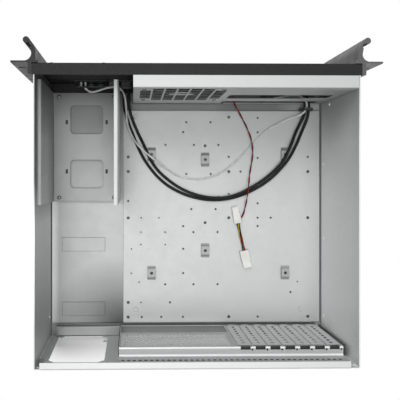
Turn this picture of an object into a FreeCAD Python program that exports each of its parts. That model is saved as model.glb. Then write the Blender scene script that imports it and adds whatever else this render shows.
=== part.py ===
import FreeCAD, Part
import math
import os

# Empty 4U rackmount server case, lid off. Millimetres, +Z up, front towards -Y.
# The origin is under the middle of the whole case, on the surface that it stands on.

# ---- Driving dimensions ----
HEIGHT = 177.0                # four rack units less the stacking gap
BODY_WIDTH = 424.0            # over the side walls
EAR_REACH = 29.3              # side wall to the tip of the rack ear
BODY_DEPTH = 396.5            # front face of the panel to the outer rear panel
HANDLE_REACH = 33.5           # handles in front of the panel
SHEET = 1.0                   # galvanised body sheet
BEND = 1.2                    # inside radius of a fold
SEAT = 0.2                    # clearance between sheets that slide past each other
HOLE_PLAY = 0.15              # radial clearance round a screw
PAST = 1.0                    # a cutting tool runs this far past the sheet
REACH = 5.0                   # the same, where sheets lie behind one another

RACK_WIDTH = BODY_WIDTH + 2 * EAR_REACH
REAR = (BODY_DEPTH + HANDLE_REACH) / 2
FRONT = REAR - BODY_DEPTH
WALL_INSIDE = BODY_WIDTH / 2 - SHEET
FLOOR = SHEET

# ---- Front panel ----
PANEL_SHEET = 1.5
PANEL_DEPTH = 15.6            # depth of the folded edges
PANEL_LAP = 2.4               # panel's side folds outside the side walls
PANEL_HALF = BODY_WIDTH / 2 + PANEL_LAP
PANEL_BACK = FRONT + PANEL_DEPTH
PANEL_INSIDE = FRONT + PANEL_SHEET

# ---- Side walls ----
HEM_HEIGHT = 8.0              # folded-over top edge
TONGUE_DEPTH = 13.0           # part of each side wall that reaches into the panel
TONGUE_CLEAR = 3.0            # tongue below the rim and above the floor
REAR_TAB = 8.0                # side wall's return behind
REAR_TAB_FOOT = 131.0         # the return stands over the window's own returns
REAR_TAB_BELOW = 9.0          # top of the return under the rim
RAIL_HOLE_R = 2.4
RAIL_HOLES = ((-143.0, 51.0), (-54.0, 22.0), (60.0, 22.0), (180.0, 22.0))

# ---- Board tray ----
TRAY_TOP = 6.0
TRAY_LEFT = WALL_INSIDE - 112.6   # edge beside the power supply's floor
TRAY_SIDE_GAP = 1.8           # clear of the side wall's fold
TRAY_REAR_GAP = 2.8           # open groove before the rear wall
STANDOFF_R = 2.3
PILOT_R = 1.6
DIMPLE_R = 1.1
DATUM_X = TRAY_LEFT - 7.5     # first board hole, nearest the power supply
DATUM_TO_WALL = 12.3
BOARD_COLUMNS = (0.0, 157.48, 281.94)
BOARD_ROWS = (0.0, 154.94, 227.33)
LANCE_LENGTH = 22.0
LANCE_WIDTH = 12.6
LANCE_RISE = 3.6
LANCE_RUN = 4.5               # sloping end of a lance
LANCES = ((36.5, 69.0), (245.8, 69.0), (120.3, 104.0), (120.3, 246.0), (36.5, 254.0), (245.8, 254.0))
CLINCH_R = 4.0                # pressed joints between the tray and the base pan
CLINCH_RISE = 0.8
CLINCH_LEFT = 19.5            # in from the tray's edge, on each of its sides
CLINCH_RIGHT = 30.1
CLINCH_FRONT = 10.7
CLINCH_REAR = 21.5
WIDE_HOLES = ((0.0, 22.9), (120.3, 147.4), (120.3, 267.6), (157.48, 312.5), (0.0, 250.0))
PILOT_ROWS = {
    0.0: (21.2, 51.5, 85.5, 202.9),
    22.9: (65.4,),
    38.2: (254.6,),
    51.0: (57.7, 102.0, 139.9),
    68.5: (86.0,),
    106.4: (86.0,),
    132.6: (102.0, 139.9),
    141.9: (86.0, 202.9),
    154.94: (202.9, 223.4),
    168.5: (98.8, 136.8),
    177.6: (202.9,),
    181.3: (0.0,),
    187.5: (141.3,),
    192.3: (157.48,),
    223.5: (90.8, 129.0),
    227.33: (176.0,),
    248.7: (202.9,),
    250.4: (157.48, 281.94),
    269.0: (58.4, 102.9, 141.3),
    289.0: (86.0, 202.9),
    304.5: (90.8, 128.8),
    311.5: (202.9,),
}
DIMPLE_ROWS = {
    22.9: (20.1,),
    54.7: (17.1, 265.3),
    68.5: (5.0,),
    106.4: (5.2,),
    113.0: (19.9, 57.9),
    132.6: (19.9, 57.9),
    154.94: (20.3, 48.0),
}

# ---- Floor under the power supply ----
BAY_TOP = 5.0
PAD_RISE = 0.9
PAD_WIDTH = 67.6
PAD_DEPTH = 22.5
PADS_AHEAD = (126.0, 25.4)    # pads' middles ahead of the stepped wall
LEDGE_GAP = 1.5               # supply's ledge behind the plane of the stepped wall

# ---- Rear ----
STEP_IN = 17.2                # stepped wall ahead of the outer rear face
STEP_TOP = 135.0              # height of the ledge over the slots
UPPER_IN = 5.0                # upper wall ahead of the outer panel's inner face
STEP_LEFT = WALL_INSIDE - 108.0
STEP_RIGHT = 7.6 - WALL_INSIDE
STEP_WALL = REAR - SHEET - STEP_IN
UPPER_WALL = REAR - SHEET - UPPER_IN
REAR_FLANGE = 9.7
REAR_FLANGE_LEFT = WALL_INSIDE - 7.0
REAR_FLANGE_RIGHT = 11.4 - WALL_INSIDE
WINDOW_TOP = 127.0
WINDOW_RIGHT = 3.6 - WALL_INSIDE
PSU_X = WALL_INSIDE - 50.8
PSU_Z = 76.0
PSU_CUT_WIDTH = 75.5
PSU_CUT_HEIGHT = 137.0
PSU_CUT_CHAMFER = 9.0
PSU_MIDDLE = 81.0             # height of the supply's own middle
PSU_SCREWS = ((-37.0, 69.0), (27.0, 69.0), (-37.0, -45.0), (37.0, -69.0))
PSU_LUG_R = 5.5
IO_WIDTH = 158.75
IO_HEIGHT = 44.45
IO_X = DATUM_X - 68.9
IO_BOTTOM = 10.0
SLOT_PITCH = 20.32
SLOT_X = DATUM_X - 160.8
SLOT_COUNT = int((SLOT_X - STEP_RIGHT) / SLOT_PITCH) + 1   # as many as the wall holds
SLOT_OPENING = 13.6
SLOT_BOTTOM = 16.0
SLOT_NOTCH = 4.2              # slot cut into the ledge
SLOT_SCREW_R = 1.35
SLOT_SCREW_SIDE = 9.2         # screw beside the middle of its slot
COVER_WIDTH = 18.8
COVER_SHEET = 0.8
COVER_BOTTOM = 9.0
COVER_TOP = 130.5
COVER_FOOT = 11.0             # narrow tongue at the bottom
COVER_FOOT_HEIGHT = 6.0
COVER_SHOULDER = 2.0          # slope between the tongue and the full width
COVER_VENTS = 8
COVER_VENT_WIDTH = 3.4
COVER_VENT_HEIGHT = 7.0
COVER_VENT_PITCH = 13.0
FIELD_LEFT = STEP_LEFT - 3.0
FIELD_RIGHT = SLOT_X + 19.9
FIELD_BOTTOM = 73.0
FIELD_TOP = 126.0
FIELD_PITCH = 9.4
HEX_ACROSS = 6.4
ROW_PITCH = 7.62
ROW_ACROSS = 4.8
ROW_HEIGHT = (STEP_TOP + HEIGHT) / 2 - 1.0
ROW_MARGIN = 6.0

# ---- Fan bracket ----
BRACKET_LEFT = TRAY_LEFT - 15.1
BRACKET_FLANGE = 16.8
BRACKET_WALL = PANEL_BACK + BRACKET_FLANGE
BRACKET_FOOT = 9.7
PASS_LEFT = BRACKET_LEFT - 135.8
PASS_RIGHT = 12.0 - WALL_INSIDE
PASS_RADIUS = 5.0
PASS_UPPER = (70.0, 108.0)
PASS_LOWER = (10.0, 38.0)
GRILLE_COLUMNS = 7
GRILLE_PITCH = 16.9
GRILLE_HOLE_WIDTH = 14.5
GRILLE_HOLE_HEIGHT = 15.3
GRILLE_ROWS = 7
GRILLE_END_ROWS = 5

# ---- Fan ----
FAN_SIZE = 120.0
FAN_RIM_GAP = 7.0             # top of the fan under the rim
FAN_X = BRACKET_LEFT - 67.3
FAN_Z = HEIGHT - FAN_RIM_GAP - FAN_SIZE / 2
FAN_DEPTH = 25.4
FAN_CORNER = 6.0
FAN_BORE_R = 57.8
FAN_HOLE_PITCH = 105.0
FAN_HOLE_R = 2.2
FAN_HUB_R = 20.0
MOTOR_CUP = 3.2
STRUT_COUNT = 4
STRUT_WIDTH = 4.0
STRUT_INSET = 0.4             # struts and bearing under the motor cup's face
STRUT_ROOT = 2.0              # strut's end inside the cup and inside the housing
ROTOR_GAP = 0.6               # rotor from the struts and from the bore
ROTOR_HUB_R = 19.4
ROTOR_DEPTH = 19.0
BLADE_COUNT = 7
BLADE_CORNER = 1.6            # how far the chord's corners stand past the tip's radius
BLADE_TIP_R = FAN_BORE_R - ROTOR_GAP - BLADE_CORNER
BLADE_ROOT_ANGLE = 52.0
BLADE_TIP_ANGLE = 30.0
BLADE_ROOT_CHORD = 21.0
BLADE_TIP_CHORD = 34.0
BLADE_CAMBER = 3.0
BLADE_THICK = 1.6
BLADE_ROOT = 3.0              # blade's end inside the hub
HUB_FILLET = 2.0
FAN_SCREW_LENGTH = 9.0
SHAFT_R = 1.5
SHAFT_PLAY = 0.05
SHAFT_LENGTH = 2.4

# ---- Drive cage ----
CAGE_X = WALL_INSIDE - 55.8
CAGE_INSIDE = 102.0
CAGE_LENGTH = 168.3
CAGE_TOP = 145.0
CAGE_BOTTOM = 9.5
CAGE_SETBACK = 16.8
CAGE_FRONT = FRONT + CAGE_SETBACK
CAGE_FLANGE = 6.0
WINDOW_WIDTH = 50.0
WINDOW_DEPTH = 43.7
WINDOW_RADIUS = 6.0
WINDOW_PLACES = (41.5, 125.8)
DRIVE_SPACING_X = 61.72
DRIVE_SPACING_Y = 76.6
DRIVE_CENTRE = 83.5
DRIVE_SLOT = (3.2, 6.0)
CAGE_SCREW_X = 42.5
CAGE_SCREW_INSET = 6.0
CAGE_FOOT_R = 5.5
SIDE_SLOT_HEIGHTS = (30.0, 60.0, 90.0, 120.0)
SIDE_SLOT_PLACES = (30.0, 71.0, 130.0)
SIDE_SLOT = (6.0, 3.6)
CAGE_FOOT_SLOPE = 1.5

# ---- Handles ----
BLADE_SHEET = 2.4             # thickness of the rack ear
LEG_THICK = 5.0
LEG_DEPTH = 15.0
TOE_INSET = 8.4               # foot's inner edge, in from the panel's side
EAR_FILLET = 3.6
KNOB_OUT = 6.9                # grip's middle, out from the panel's side
KNOB_R = 4.2
GRIP_END = 217.0              # degrees round the grip where the inner side leaves it
# Both sides of the stem: out from the panel's side, ahead of the ear.
STEM_OUTER = ((2.2, 3.8), (0.2, 9.6), (1.6, 17.2), (3.4, 23.7))
STEM_INNER = ((-2.8, 20.8), (-4.4, 17.0), (-4.8, 12.5), (-4.8, 3.4), (-5.8, 1.0), (-8.2, 0.0))
EAR_SLOT_SPACING = 101.6
EAR_SLOT_IN = 8.75            # slots' middle, in from the ear's tip
EAR_SLOT = (10.0, 6.8)
HANDLE_SCREW_INSET = 28.0
HANDLE_SCREW_HEIGHTS = (HANDLE_SCREW_INSET, HEIGHT / 2, HEIGHT - HANDLE_SCREW_INSET)

# ---- Front panel openings ----
VENT_COLUMNS = 14
VENT_PITCH = 8.0
VENT_SLOT = 4.4
VENT_BARS = 3
VENT_LENGTH = 34.0
VENT_ROW_PITCH = 38.0
BAY_WIDTH = 96.0
BAY_LEFT = WALL_INSIDE - 7.4
BAY_BOTTOM = 52.0
BAY_HEIGHT = 112.0
BAY_RADIUS = 3.0
BAY_FIT = 0.3
BAY_LIP = 7.0
BAY_SIDE_LIP = 3.0
BAY_SCREW_PAST = 2.0          # screw's end past the cover
BAY_SCREW_X = 34.0
IO_PANEL_X = WALL_INSIDE - 84.0
IO_PANEL_Z = 27.0
IO_PANEL_WIDTH = 84.0
IO_PANEL_HEIGHT = 22.0
IO_LIP = 4.0
USB_WIDTH = 13.1
USB_HEIGHT = 5.7
USB_DEPTH = 13.0
USB_PROUD = 0.4
USB_PLACES = (-33.0, -14.0)
POWER_X = 6.0
POWER_R = 5.5
RESET_X = 20.0
RESET_R = 2.6
BUTTON_TRAVEL = 1.5
BUTTON_PROUD = 1.8
BUTTON_PLAY = 0.25
BUTTON_COLLAR = 1.0           # collar that keeps a button behind the insert
BUTTON_COLLAR_DEPTH = 0.8
SWITCH_SIZE = 6.0
SWITCH_DEPTH = 3.4
BEZEL_PROUD = 0.6
BEZEL_LIP = 1.6
LIGHT_PLACES = (29.0, 35.5)
LIGHT_R = 1.5
BOARD_GAP = 8.0               # from the panel to the board
BOARD_SHEET = 1.6
BOARD_LOW = 17.0
BOARD_HIGH = 33.0
BOARD_POST_R = 2.0
BOARD_POST_LIFT = 3.0
SOCKET_WALL = 0.5
TONGUE_GAP = 1.0              # tongue from the shell's sides and mouth
TONGUE_Z = (-0.2, 1.7)
LIGHT_PROUD = 0.4
BUTTON_CHAMFER = 0.5

# ---- Fasteners ----
SCREW_R = 1.6
HEAD_R = 3.2
HEAD_HEIGHT = 1.8

# ---- Leads ----
BLACK_LEAD = 4.5
GREY_LEAD = 2.8
FAN_LEAD = 2.6
ADAPTER_LEAD = 5.0
HEADER_PLUG = (20.0, 7.0, 10.0)
SMALL_PLUG = (12.0, 5.0, 6.0)
FAN_PLUG = (11.7, 25.7, 8.0)
FAN_PLUG_BACK = (-80.4, 37.5)
FAN_PLUG_TURN = 192.1
POWER_PLUG = (14.6, 26.5, 9.0)
POWER_PLUG_BACK = (-89.8, 80.4)
POWER_PLUG_TURN = 11.5
PLUG_LIFT = 0.1
PLUG_BODY = 0.62              # share of the plug's length that is full width
PLUG_STEP = 1.2
PLUG_NOSE_STEP = 1.0
PLUG_KEY = (0.1, 0.5)         # key's start and end, as shares of the length
PLUG_ROUND = 1.5
PLUG_WAYS = 4
PLUG_WAY_R = 1.05
PLUG_WAY_DEPTH = 4.0
PLUG_MARGIN = 3.0
RUN_SHARE = 0.45              # share of the shorter run that an arc takes
TIE_WALL = 1.2
TIE_WIDTH = 4.0
TIE_BEND = 2.5
TIE_HEAD = 3.0
TIE_HEAD_TALL = 4.0
TIE_LIP = 0.6                 # head wider than the strap on each side
TIE_X = (-194.8, -179.4)
TIE_Y = -141.0
TIE_Z = (9.4, 24.0)

BLACK_ROUTE_A = (
    (97.0, -170.4, 20.6), (97.4, -160.0, 20.6), (97.4, -146.0, 18.5), (93.5, -127.0, 10.2),
    (84.0, -101.0, 8.7), (67.0, -60.0, 8.7), (33.0, -20.0, 8.7), (-18.0, 1.8, 8.7),
    (-72.0, 1.5, 8.7), (-124.0, -23.0, 8.7), (-156.0, -56.0, 12.6), (-169.5, -80.0, 12.6),
    (-181.0, -106.0, 9.5), (-190.4, -130.0, 13.5), (-189.9, -154.5, 15.2), (-183.4, -166.5, 12.4),
    (-172.0, -173.2, 9.2), (-159.0, -173.2, 6.6),
)
BLACK_ROUTE_B = (
    (89.8, -170.4, 20.6), (90.0, -160.0, 20.6), (90.0, -146.0, 18.5), (86.0, -127.0, 10.2),
    (74.5, -100.0, 9.0), (65.0, -81.0, 13.0), (55.0, -57.0, 13.0), (38.0, -36.5, 10.4),
    (7.0, -13.6, 12.6), (-31.0, -1.2, 12.9), (-72.0, -2.2, 12.9), (-115.0, -25.4, 12.9),
    (-137.5, -44.0, 12.9), (-151.5, -60.0, 14.0), (-162.5, -83.0, 14.0), (-171.5, -106.0, 10.4),
    (-183.2, -129.0, 13.5), (-184.3, -142.0, 14.8), (-183.9, -152.9, 15.4), (-179.0, -161.5, 13.0),
    (-170.4, -166.4, 10.0), (-153.0, -166.7, 8.0), (-136.5, -164.5, 6.6),
)
GREY_ROUTE = (
    (157.0, -170.4, 27.0), (150.5, -162.8, 30.0), (139.0, -163.6, 34.5), (122.0, -169.5, 36.0),
    (107.0, -171.0, 36.0), (97.8, -163.5, 34.5), (94.8, -151.0, 30.0), (93.7, -137.0, 24.0),
    (93.2, -119.0, 17.5), (87.5, -102.0, 16.4), (78.0, -85.0, 20.4), (65.0, -72.5, 20.8),
    (50.0, -60.5, 19.8), (34.0, -49.5, 10.0), (12.0, -34.0, 7.7), (-24.0, -29.5, 7.7),
    (-60.0, -42.0, 7.7), (-92.0, -73.0, 7.7), (-121.0, -106.0, 7.7), (-156.0, -124.0, 13.5),
    (-181.2, -131.0, 19.8), (-187.0, -147.5, 21.2), (-178.5, -159.5, 20.5), (-163.0, -161.5, 17.5),
    (-144.0, -158.5, 11.5), (-127.0, -155.4, 4.5),
)
FAN_ROUTE = (
    (-44.0, -157.0, 58.0), (-55.5, -157.0, 57.8), (-63.0, -157.0, 46.0), (-67.5, -156.8, 32.0),
    (-71.5, -151.5, 18.5), (-80.5, -137.0, 11.5), (-93.0, -116.0, 8.2), (-101.5, -92.0, 13.2),
    (-103.5, -71.0, 13.0), (-101.0, -50.0, 8.6), (-98.5, -38.0, 10.2), (-96.0, -24.0, 17.4),
    (-93.5, -2.0, 17.4), (-91.5, 13.0, 10.8), (-88.8, 25.5, 9.4), (-82.6, 34.0, 10.0),
)
ADAPTER_ROUTE = (
    (-80.4, 37.5, 10.1), (-82.4, 46.5, 9.3), (-84.6, 58.0, 8.8), (-87.4, 69.5, 9.5), (-89.8, 80.4, 10.6),
)


# ---- Small tools ----
def vec(x, y, z):
    return FreeCAD.Vector(x, y, z)


def box(x0, x1, y0, y1, z0, z1):
    """Block between two corners."""
    low = vec(min(x0, x1), min(y0, y1), min(z0, z1))
    return Part.makeBox(abs(x1 - x0), abs(y1 - y0), abs(z1 - z0), low)


def rounded(block, radius, axis):
    """Block with its four edges along the axis rounded."""
    chosen = []
    for edge in block.Edges:
        run = edge.Vertexes[-1].Point.sub(edge.Vertexes[0].Point)
        run.normalize()
        if abs(run.dot(axis)) > 0.99:
            chosen.append(edge)
    return block.makeFillet(radius, chosen)


def rod(radius, start, end):
    """Cylinder between two points."""
    run = end.sub(start)
    return Part.makeCylinder(radius, run.Length, start, run)


def prism(points, run):
    """Straight-sided solid on a closed outline of points."""
    outline = Part.makePolygon(list(points) + [points[0]])
    return Part.Face(outline).extrude(run)


def cut(shape, tools):
    """Shape less every tool, as a plain solid where one is left."""
    return single(shape.cut(list(tools)))


def fuse(shapes):
    """Shapes joined into one, without seams."""
    joined = shapes[0].multiFuse(list(shapes[1:]))
    return single(joined.removeSplitter())


def single(shape):
    if len(shape.Solids) == 1:
        return shape.Solids[0]
    return Part.makeCompound(shape.Solids)


def direction(start, end):
    size = math.hypot(end[0] - start[0], end[1] - start[1])
    return (end[0] - start[0]) / size, (end[1] - start[1]) / size


def fold_station(before, corner, after, thickness, side):
    """Skin points and inward normals of the fold at one corner."""
    into = direction(before, corner)
    out = direction(corner, after)
    turn = into[0] * out[1] - into[1] * out[0]
    angle = math.acos(max(-1.0, min(1.0, into[0] * out[0] + into[1] * out[1])))
    radius = BEND + thickness if turn * side > 0 else BEND
    reach = radius * math.tan(angle / 2)
    sign = 1 if turn > 0 else -1
    start = (corner[0] - into[0] * reach, corner[1] - into[1] * reach)
    end = (corner[0] + out[0] * reach, corner[1] + out[1] * reach)
    centre = (start[0] - sign * into[1] * radius, start[1] + sign * into[0] * radius)
    towards = direction(centre, corner)
    middle = (centre[0] + towards[0] * radius, centre[1] + towards[1] * radius)
    first = (-side * into[1], side * into[0])
    last = (-side * out[1], side * out[0])
    half = math.hypot(first[0] + last[0], first[1] + last[1])
    between = ((first[0] + last[0]) / half, (first[1] + last[1]) / half)
    return [(start, first), (middle, between), (end, last)]


def skin_edges(stations, offset, lift):
    """Lines and arcs of one skin, and its two ends."""
    edges = []
    rows = []
    for station in stations:
        rows.append([lift(p[0] + n[0] * offset, p[1] + n[1] * offset) for p, n in station])
    for here, there in zip(rows, rows[1:]):
        edges.append(Part.makeLine(here[-1], there[0]))
        if len(there) == 3:
            edges.append(Part.Arc(there[0], there[1], there[2]).toShape())
    return edges, rows[0][0], rows[-1][-1]


def folded_sheet(corners, thickness, side, lift, run):
    """Folded sheet: corners follow one skin, and the metal lies to the left (1) or right (-1)."""
    first = direction(corners[0], corners[1])
    last = direction(corners[-2], corners[-1])
    stations = [[(corners[0], (-side * first[1], side * first[0]))]]
    for before, corner, after in zip(corners, corners[1:], corners[2:]):
        stations.append(fold_station(before, corner, after, thickness, side))
    stations.append([(corners[-1], (-side * last[1], side * last[0]))])
    near, near_start, near_end = skin_edges(stations, 0.0, lift)
    far, far_start, far_end = skin_edges(stations, thickness, lift)
    loop = near + [Part.makeLine(near_end, far_end)] + far[::-1] + [Part.makeLine(far_start, near_start)]
    return Part.Face(Part.Wire(loop)).extrude(run)


def sheet_across(corners, x_low, x_high, side, thickness=SHEET):
    """Folded sheet whose (y, z) section runs across the case."""
    return folded_sheet(corners, thickness, side, lambda y, z: vec(x_low, y, z), vec(x_high - x_low, 0, 0))


def sheet_along(corners, y_low, y_high, side, thickness=SHEET):
    """Folded sheet whose (x, z) section runs along the case."""
    return folded_sheet(corners, thickness, side, lambda x, z: vec(x, y_low, z), vec(0, y_high - y_low, 0))


def hexagon(x, z, across, y_low, y_high):
    """Six-sided hole through a wall that faces front."""
    radius = across / math.sqrt(3)
    points = []
    for step in range(6):
        angle = math.radians(60 * step + 30)
        points.append(vec(x + radius * math.cos(angle), y_low, z + radius * math.sin(angle)))
    return prism(points, vec(0, y_high - y_low, 0))


def level_slot(x, z, length, radius, y_low, y_high):
    """Round-ended slot that runs along X through a wall that faces front."""
    reach = length / 2 - radius
    ends = [rod(radius, vec(x + a * reach, y_low, z), vec(x + a * reach, y_high, z)) for a in (-1, 1)]
    return fuse([box(x - reach, x + reach, y_low, y_high, z - radius, z + radius)] + ends)


def screw(head_point, way, length):
    """Pan-head screw: way points from the head into the work."""
    shank = rod(SCREW_R, head_point, head_point.add(way * length))
    head = rod(HEAD_R, head_point.sub(way * HEAD_HEIGHT), head_point)
    return fuse([head, shank])


# ---- Body ----
def handle_screw_places():
    """Height of each handle screw, on both sides."""
    return [(side, height) for side in (1, -1) for height in HANDLE_SCREW_HEIGHTS]


def side_screw_hole(side, height, radius):
    y = FRONT + LEG_DEPTH / 2
    inner = side * (WALL_INSIDE - REACH)
    outer = side * (PANEL_HALF + LEG_THICK + REACH)
    return rod(radius, vec(inner, y, height), vec(outer, y, height))


def base_pan():
    """Floor and both side walls from one sheet, with hemmed rims and rear returns."""
    half = BODY_WIDTH / 2
    rear_inside = REAR - SHEET
    section = ((-half, HEIGHT), (-half, 0.0), (half, 0.0), (half, HEIGHT))
    pieces = [sheet_along(section, PANEL_BACK, rear_inside, 1)]
    for side in (1, -1):
        inner = side * WALL_INSIDE
        outer = side * half
        pieces.append(box(inner, inner - side * SHEET, PANEL_BACK, rear_inside, HEIGHT - HEM_HEIGHT, HEIGHT))
        tongue_end = PANEL_BACK - TONGUE_DEPTH
        pieces.append(box(inner, outer, tongue_end, PANEL_BACK, TONGUE_CLEAR, HEIGHT - TONGUE_CLEAR))
        tab_end = side * (WALL_INSIDE - REAR_TAB)
        pieces.append(box(inner, tab_end, rear_inside - SHEET, rear_inside, REAR_TAB_FOOT,
                          HEIGHT - REAR_TAB_BELOW))
    pan = fuse(pieces)
    holes = []
    for side in (1, -1):
        for y, z in RAIL_HOLES:
            outer = vec(side * (half + PAST), y, z)
            holes.append(rod(RAIL_HOLE_R, outer, vec(side * (WALL_INSIDE - PAST), y, z)))
    for side, height in handle_screw_places():
        holes.append(side_screw_hole(side, height, SCREW_R + HOLE_PLAY))
    return cut(pan, holes)


def tray_spot(forward, right):
    """Place on the board tray, measured from the first board hole."""
    return DATUM_X - right, STEP_WALL - DATUM_TO_WALL - forward


def lance(x, y):
    """Raised bridge pressed out of the tray, open at both sides."""
    rise = LANCE_RISE
    half = LANCE_LENGTH / 2
    flat = half - LANCE_RUN
    low = TRAY_TOP
    top = low + rise
    section = [(y - half, low), (y - flat, top), (y + flat, top), (y + half, low)]
    strip = sheet_across(section, x - LANCE_WIDTH / 2, x + LANCE_WIDTH / 2, -1)
    hole = rod(STANDOFF_R, vec(x, y, low), vec(x, y, top + PAST))
    return cut(strip, [hole])


def tray_edges():
    """Front, rear and right edge of the board tray."""
    return BRACKET_WALL + BRACKET_FOOT + SEAT, STEP_WALL - TRAY_REAR_GAP, TRAY_SIDE_GAP - WALL_INSIDE


def board_tray():
    """Raised, pierced sheet with turned-down edges and six bridge lances."""
    front, rear, right = tray_edges()
    section = ((front, FLOOR), (front, TRAY_TOP), (rear, TRAY_TOP), (rear, FLOOR))
    sheet = sheet_across(section, right, TRAY_LEFT, -1)
    edges = []
    for x0, x1 in ((right, right + SHEET), (TRAY_LEFT - SHEET, TRAY_LEFT)):
        edges.append(box(x0, x1, front + SHEET + BEND, rear - SHEET - BEND, FLOOR, TRAY_TOP - SHEET))
    holes = []
    for right_of in BOARD_COLUMNS:
        for forward in BOARD_ROWS:
            holes.append(tray_hole(forward, right_of, STANDOFF_R))
    for right_of, forward in WIDE_HOLES:
        holes.append(tray_hole(forward, right_of, STANDOFF_R))
    for forward, places in PILOT_ROWS.items():
        for right_of in places:
            holes.append(tray_hole(forward, right_of, PILOT_R))
    for forward, places in DIMPLE_ROWS.items():
        for right_of in places:
            holes.append(tray_hole(forward, right_of, DIMPLE_R))
    bridges = []
    for right_of, forward in LANCES:
        x, y = tray_spot(forward, right_of)
        flat = LANCE_LENGTH / 2 - LANCE_RUN / 2
        holes.append(box(x - LANCE_WIDTH / 2, x + LANCE_WIDTH / 2, y - flat, y + flat,
                         FLOOR, TRAY_TOP + PAST))
        bridges.append(lance(x, y))
    pierced = cut(fuse([sheet] + edges), holes)
    return fuse([pierced] + bridges + clinches())


def tray_hole(forward, right_of, radius):
    x, y = tray_spot(forward, right_of)
    return rod(radius, vec(x, y, TRAY_TOP - SHEET - PAST), vec(x, y, TRAY_TOP + PAST))


def clinches():
    """Round buttons pressed up in the tray, where it is joined to the base pan."""
    front, rear, right = tray_edges()
    buttons = []
    for x in (TRAY_LEFT - CLINCH_LEFT, right + CLINCH_RIGHT):
        for y in (rear - CLINCH_REAR, front + CLINCH_FRONT):
            foot = vec(x, y, TRAY_TOP - SHEET / 2)
            buttons.append(Part.makeCone(CLINCH_R, CLINCH_R - CLINCH_RISE, SHEET / 2 + CLINCH_RISE, foot))
    return buttons


def bay_floor():
    """Plate under the drive cage and the power supply, with two pressed pads."""
    left = WALL_INSIDE - TRAY_SIDE_GAP
    front = PANEL_BACK + SEAT
    rear = STEP_WALL - TRAY_REAR_GAP
    section = ((front, FLOOR), (front, BAY_TOP), (rear, BAY_TOP), (rear, FLOOR))
    plate = sheet_across(section, TRAY_LEFT + SEAT, left, -1)
    pads = []
    for ahead in PADS_AHEAD:
        pads.append(pressed_pad(PSU_X, STEP_WALL - ahead, PAD_WIDTH, PAD_DEPTH, BAY_TOP, PAD_RISE))
    return fuse([plate] + pads)


def pressed_pad(x, y, width, depth, z, rise):
    """Low pad with sloping sides."""
    lower = rectangle(x, y, width, depth, z - SHEET / 2)
    upper = rectangle(x, y, width - 2 * rise, depth - 2 * rise, z + rise)
    return Part.makeLoft([lower, upper], True, True)


def rectangle(x, y, width, depth, z):
    corners = ((-1, -1), (1, -1), (1, 1), (-1, 1), (-1, -1))
    return Part.makePolygon([vec(x + a * width / 2, y + b * depth / 2, z) for a, b in corners])


def psu_ledge():
    """Ledge that carries the power supply's rear edge."""
    front = STEP_WALL + LEDGE_GAP
    rear = REAR - SHEET
    section = ((front, FLOOR), (front, TRAY_TOP), (rear, TRAY_TOP), (rear, FLOOR))
    left = WALL_INSIDE - REAR_TAB - SEAT
    return sheet_across(section, STEP_LEFT + SHEET + SEAT, left, -1)


# ---- Rear ----
def chamfered_opening(x, z, width, height, chamfer, y_low, y_high):
    """Eight-sided opening for the power supply's grille and socket."""
    half = width / 2
    tall = height / 2
    outline = []
    for a, b in ((1, 1), (-1, 1), (-1, -1), (1, -1)):
        corner = ((a * half, b * (tall - chamfer)), (a * (half - chamfer), b * tall))
        if a * b < 0:
            corner = corner[::-1]
        outline.extend(corner)
    points = [vec(x + u, y_low, z + v) for u, v in outline]
    return prism(points, vec(0, y_high - y_low, 0))


def rear_frame():
    """Outer rear panel: supply cut-out, window over the stepped wall, returns and rim flange."""
    inside = REAR - SHEET
    edge = WALL_INSIDE - SEAT
    wall = box(-edge, edge, inside, REAR, FLOOR + SEAT, HEIGHT - SHEET - BEND)
    section = ((REAR, HEIGHT - BEND - 2 * SHEET), (REAR, HEIGHT), (REAR - REAR_FLANGE, HEIGHT))
    flange = sheet_across(section, REAR_FLANGE_RIGHT, REAR_FLANGE_LEFT, 1)
    window = box(WINDOW_RIGHT, STEP_LEFT, inside - PAST, REAR + PAST, TRAY_TOP, WINDOW_TOP)
    psu = chamfered_opening(PSU_X, PSU_Z, PSU_CUT_WIDTH, PSU_CUT_HEIGHT, PSU_CUT_CHAMFER,
                            inside - PAST, REAR + PAST)
    lugs = []
    screw_holes = []
    for dx, dz in PSU_SCREWS:
        x = PSU_X + dx
        z = PSU_MIDDLE + dz
        lugs.append(rod(PSU_LUG_R, vec(x, inside, z), vec(x, REAR, z)))
        screw_holes.append(rod(SCREW_R + HOLE_PLAY, vec(x, inside - PAST, z), vec(x, REAR + PAST, z)))
    returns = [
        box(STEP_LEFT, STEP_LEFT + SHEET, STEP_WALL + SHEET + SEAT, inside, TRAY_TOP, WINDOW_TOP + SHEET),
        box(WINDOW_RIGHT, WINDOW_RIGHT - SHEET, STEP_WALL, inside, TRAY_TOP, WINDOW_TOP + SHEET),
        box(WINDOW_RIGHT, STEP_LEFT, STEP_WALL + SHEET + SEAT, inside, WINDOW_TOP, WINDOW_TOP + SHEET),
    ]
    return cut(fuse([cut(wall, [window, psu]), flange] + lugs + returns), screw_holes)


def slot_places():
    return [SLOT_X - SLOT_PITCH * step for step in range(SLOT_COUNT)]


def io_cut():
    low = IO_X - IO_WIDTH / 2
    return box(low, low + IO_WIDTH, STEP_WALL - PAST, STEP_WALL + SHEET + PAST,
               IO_BOTTOM, IO_BOTTOM + IO_HEIGHT)


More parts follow.
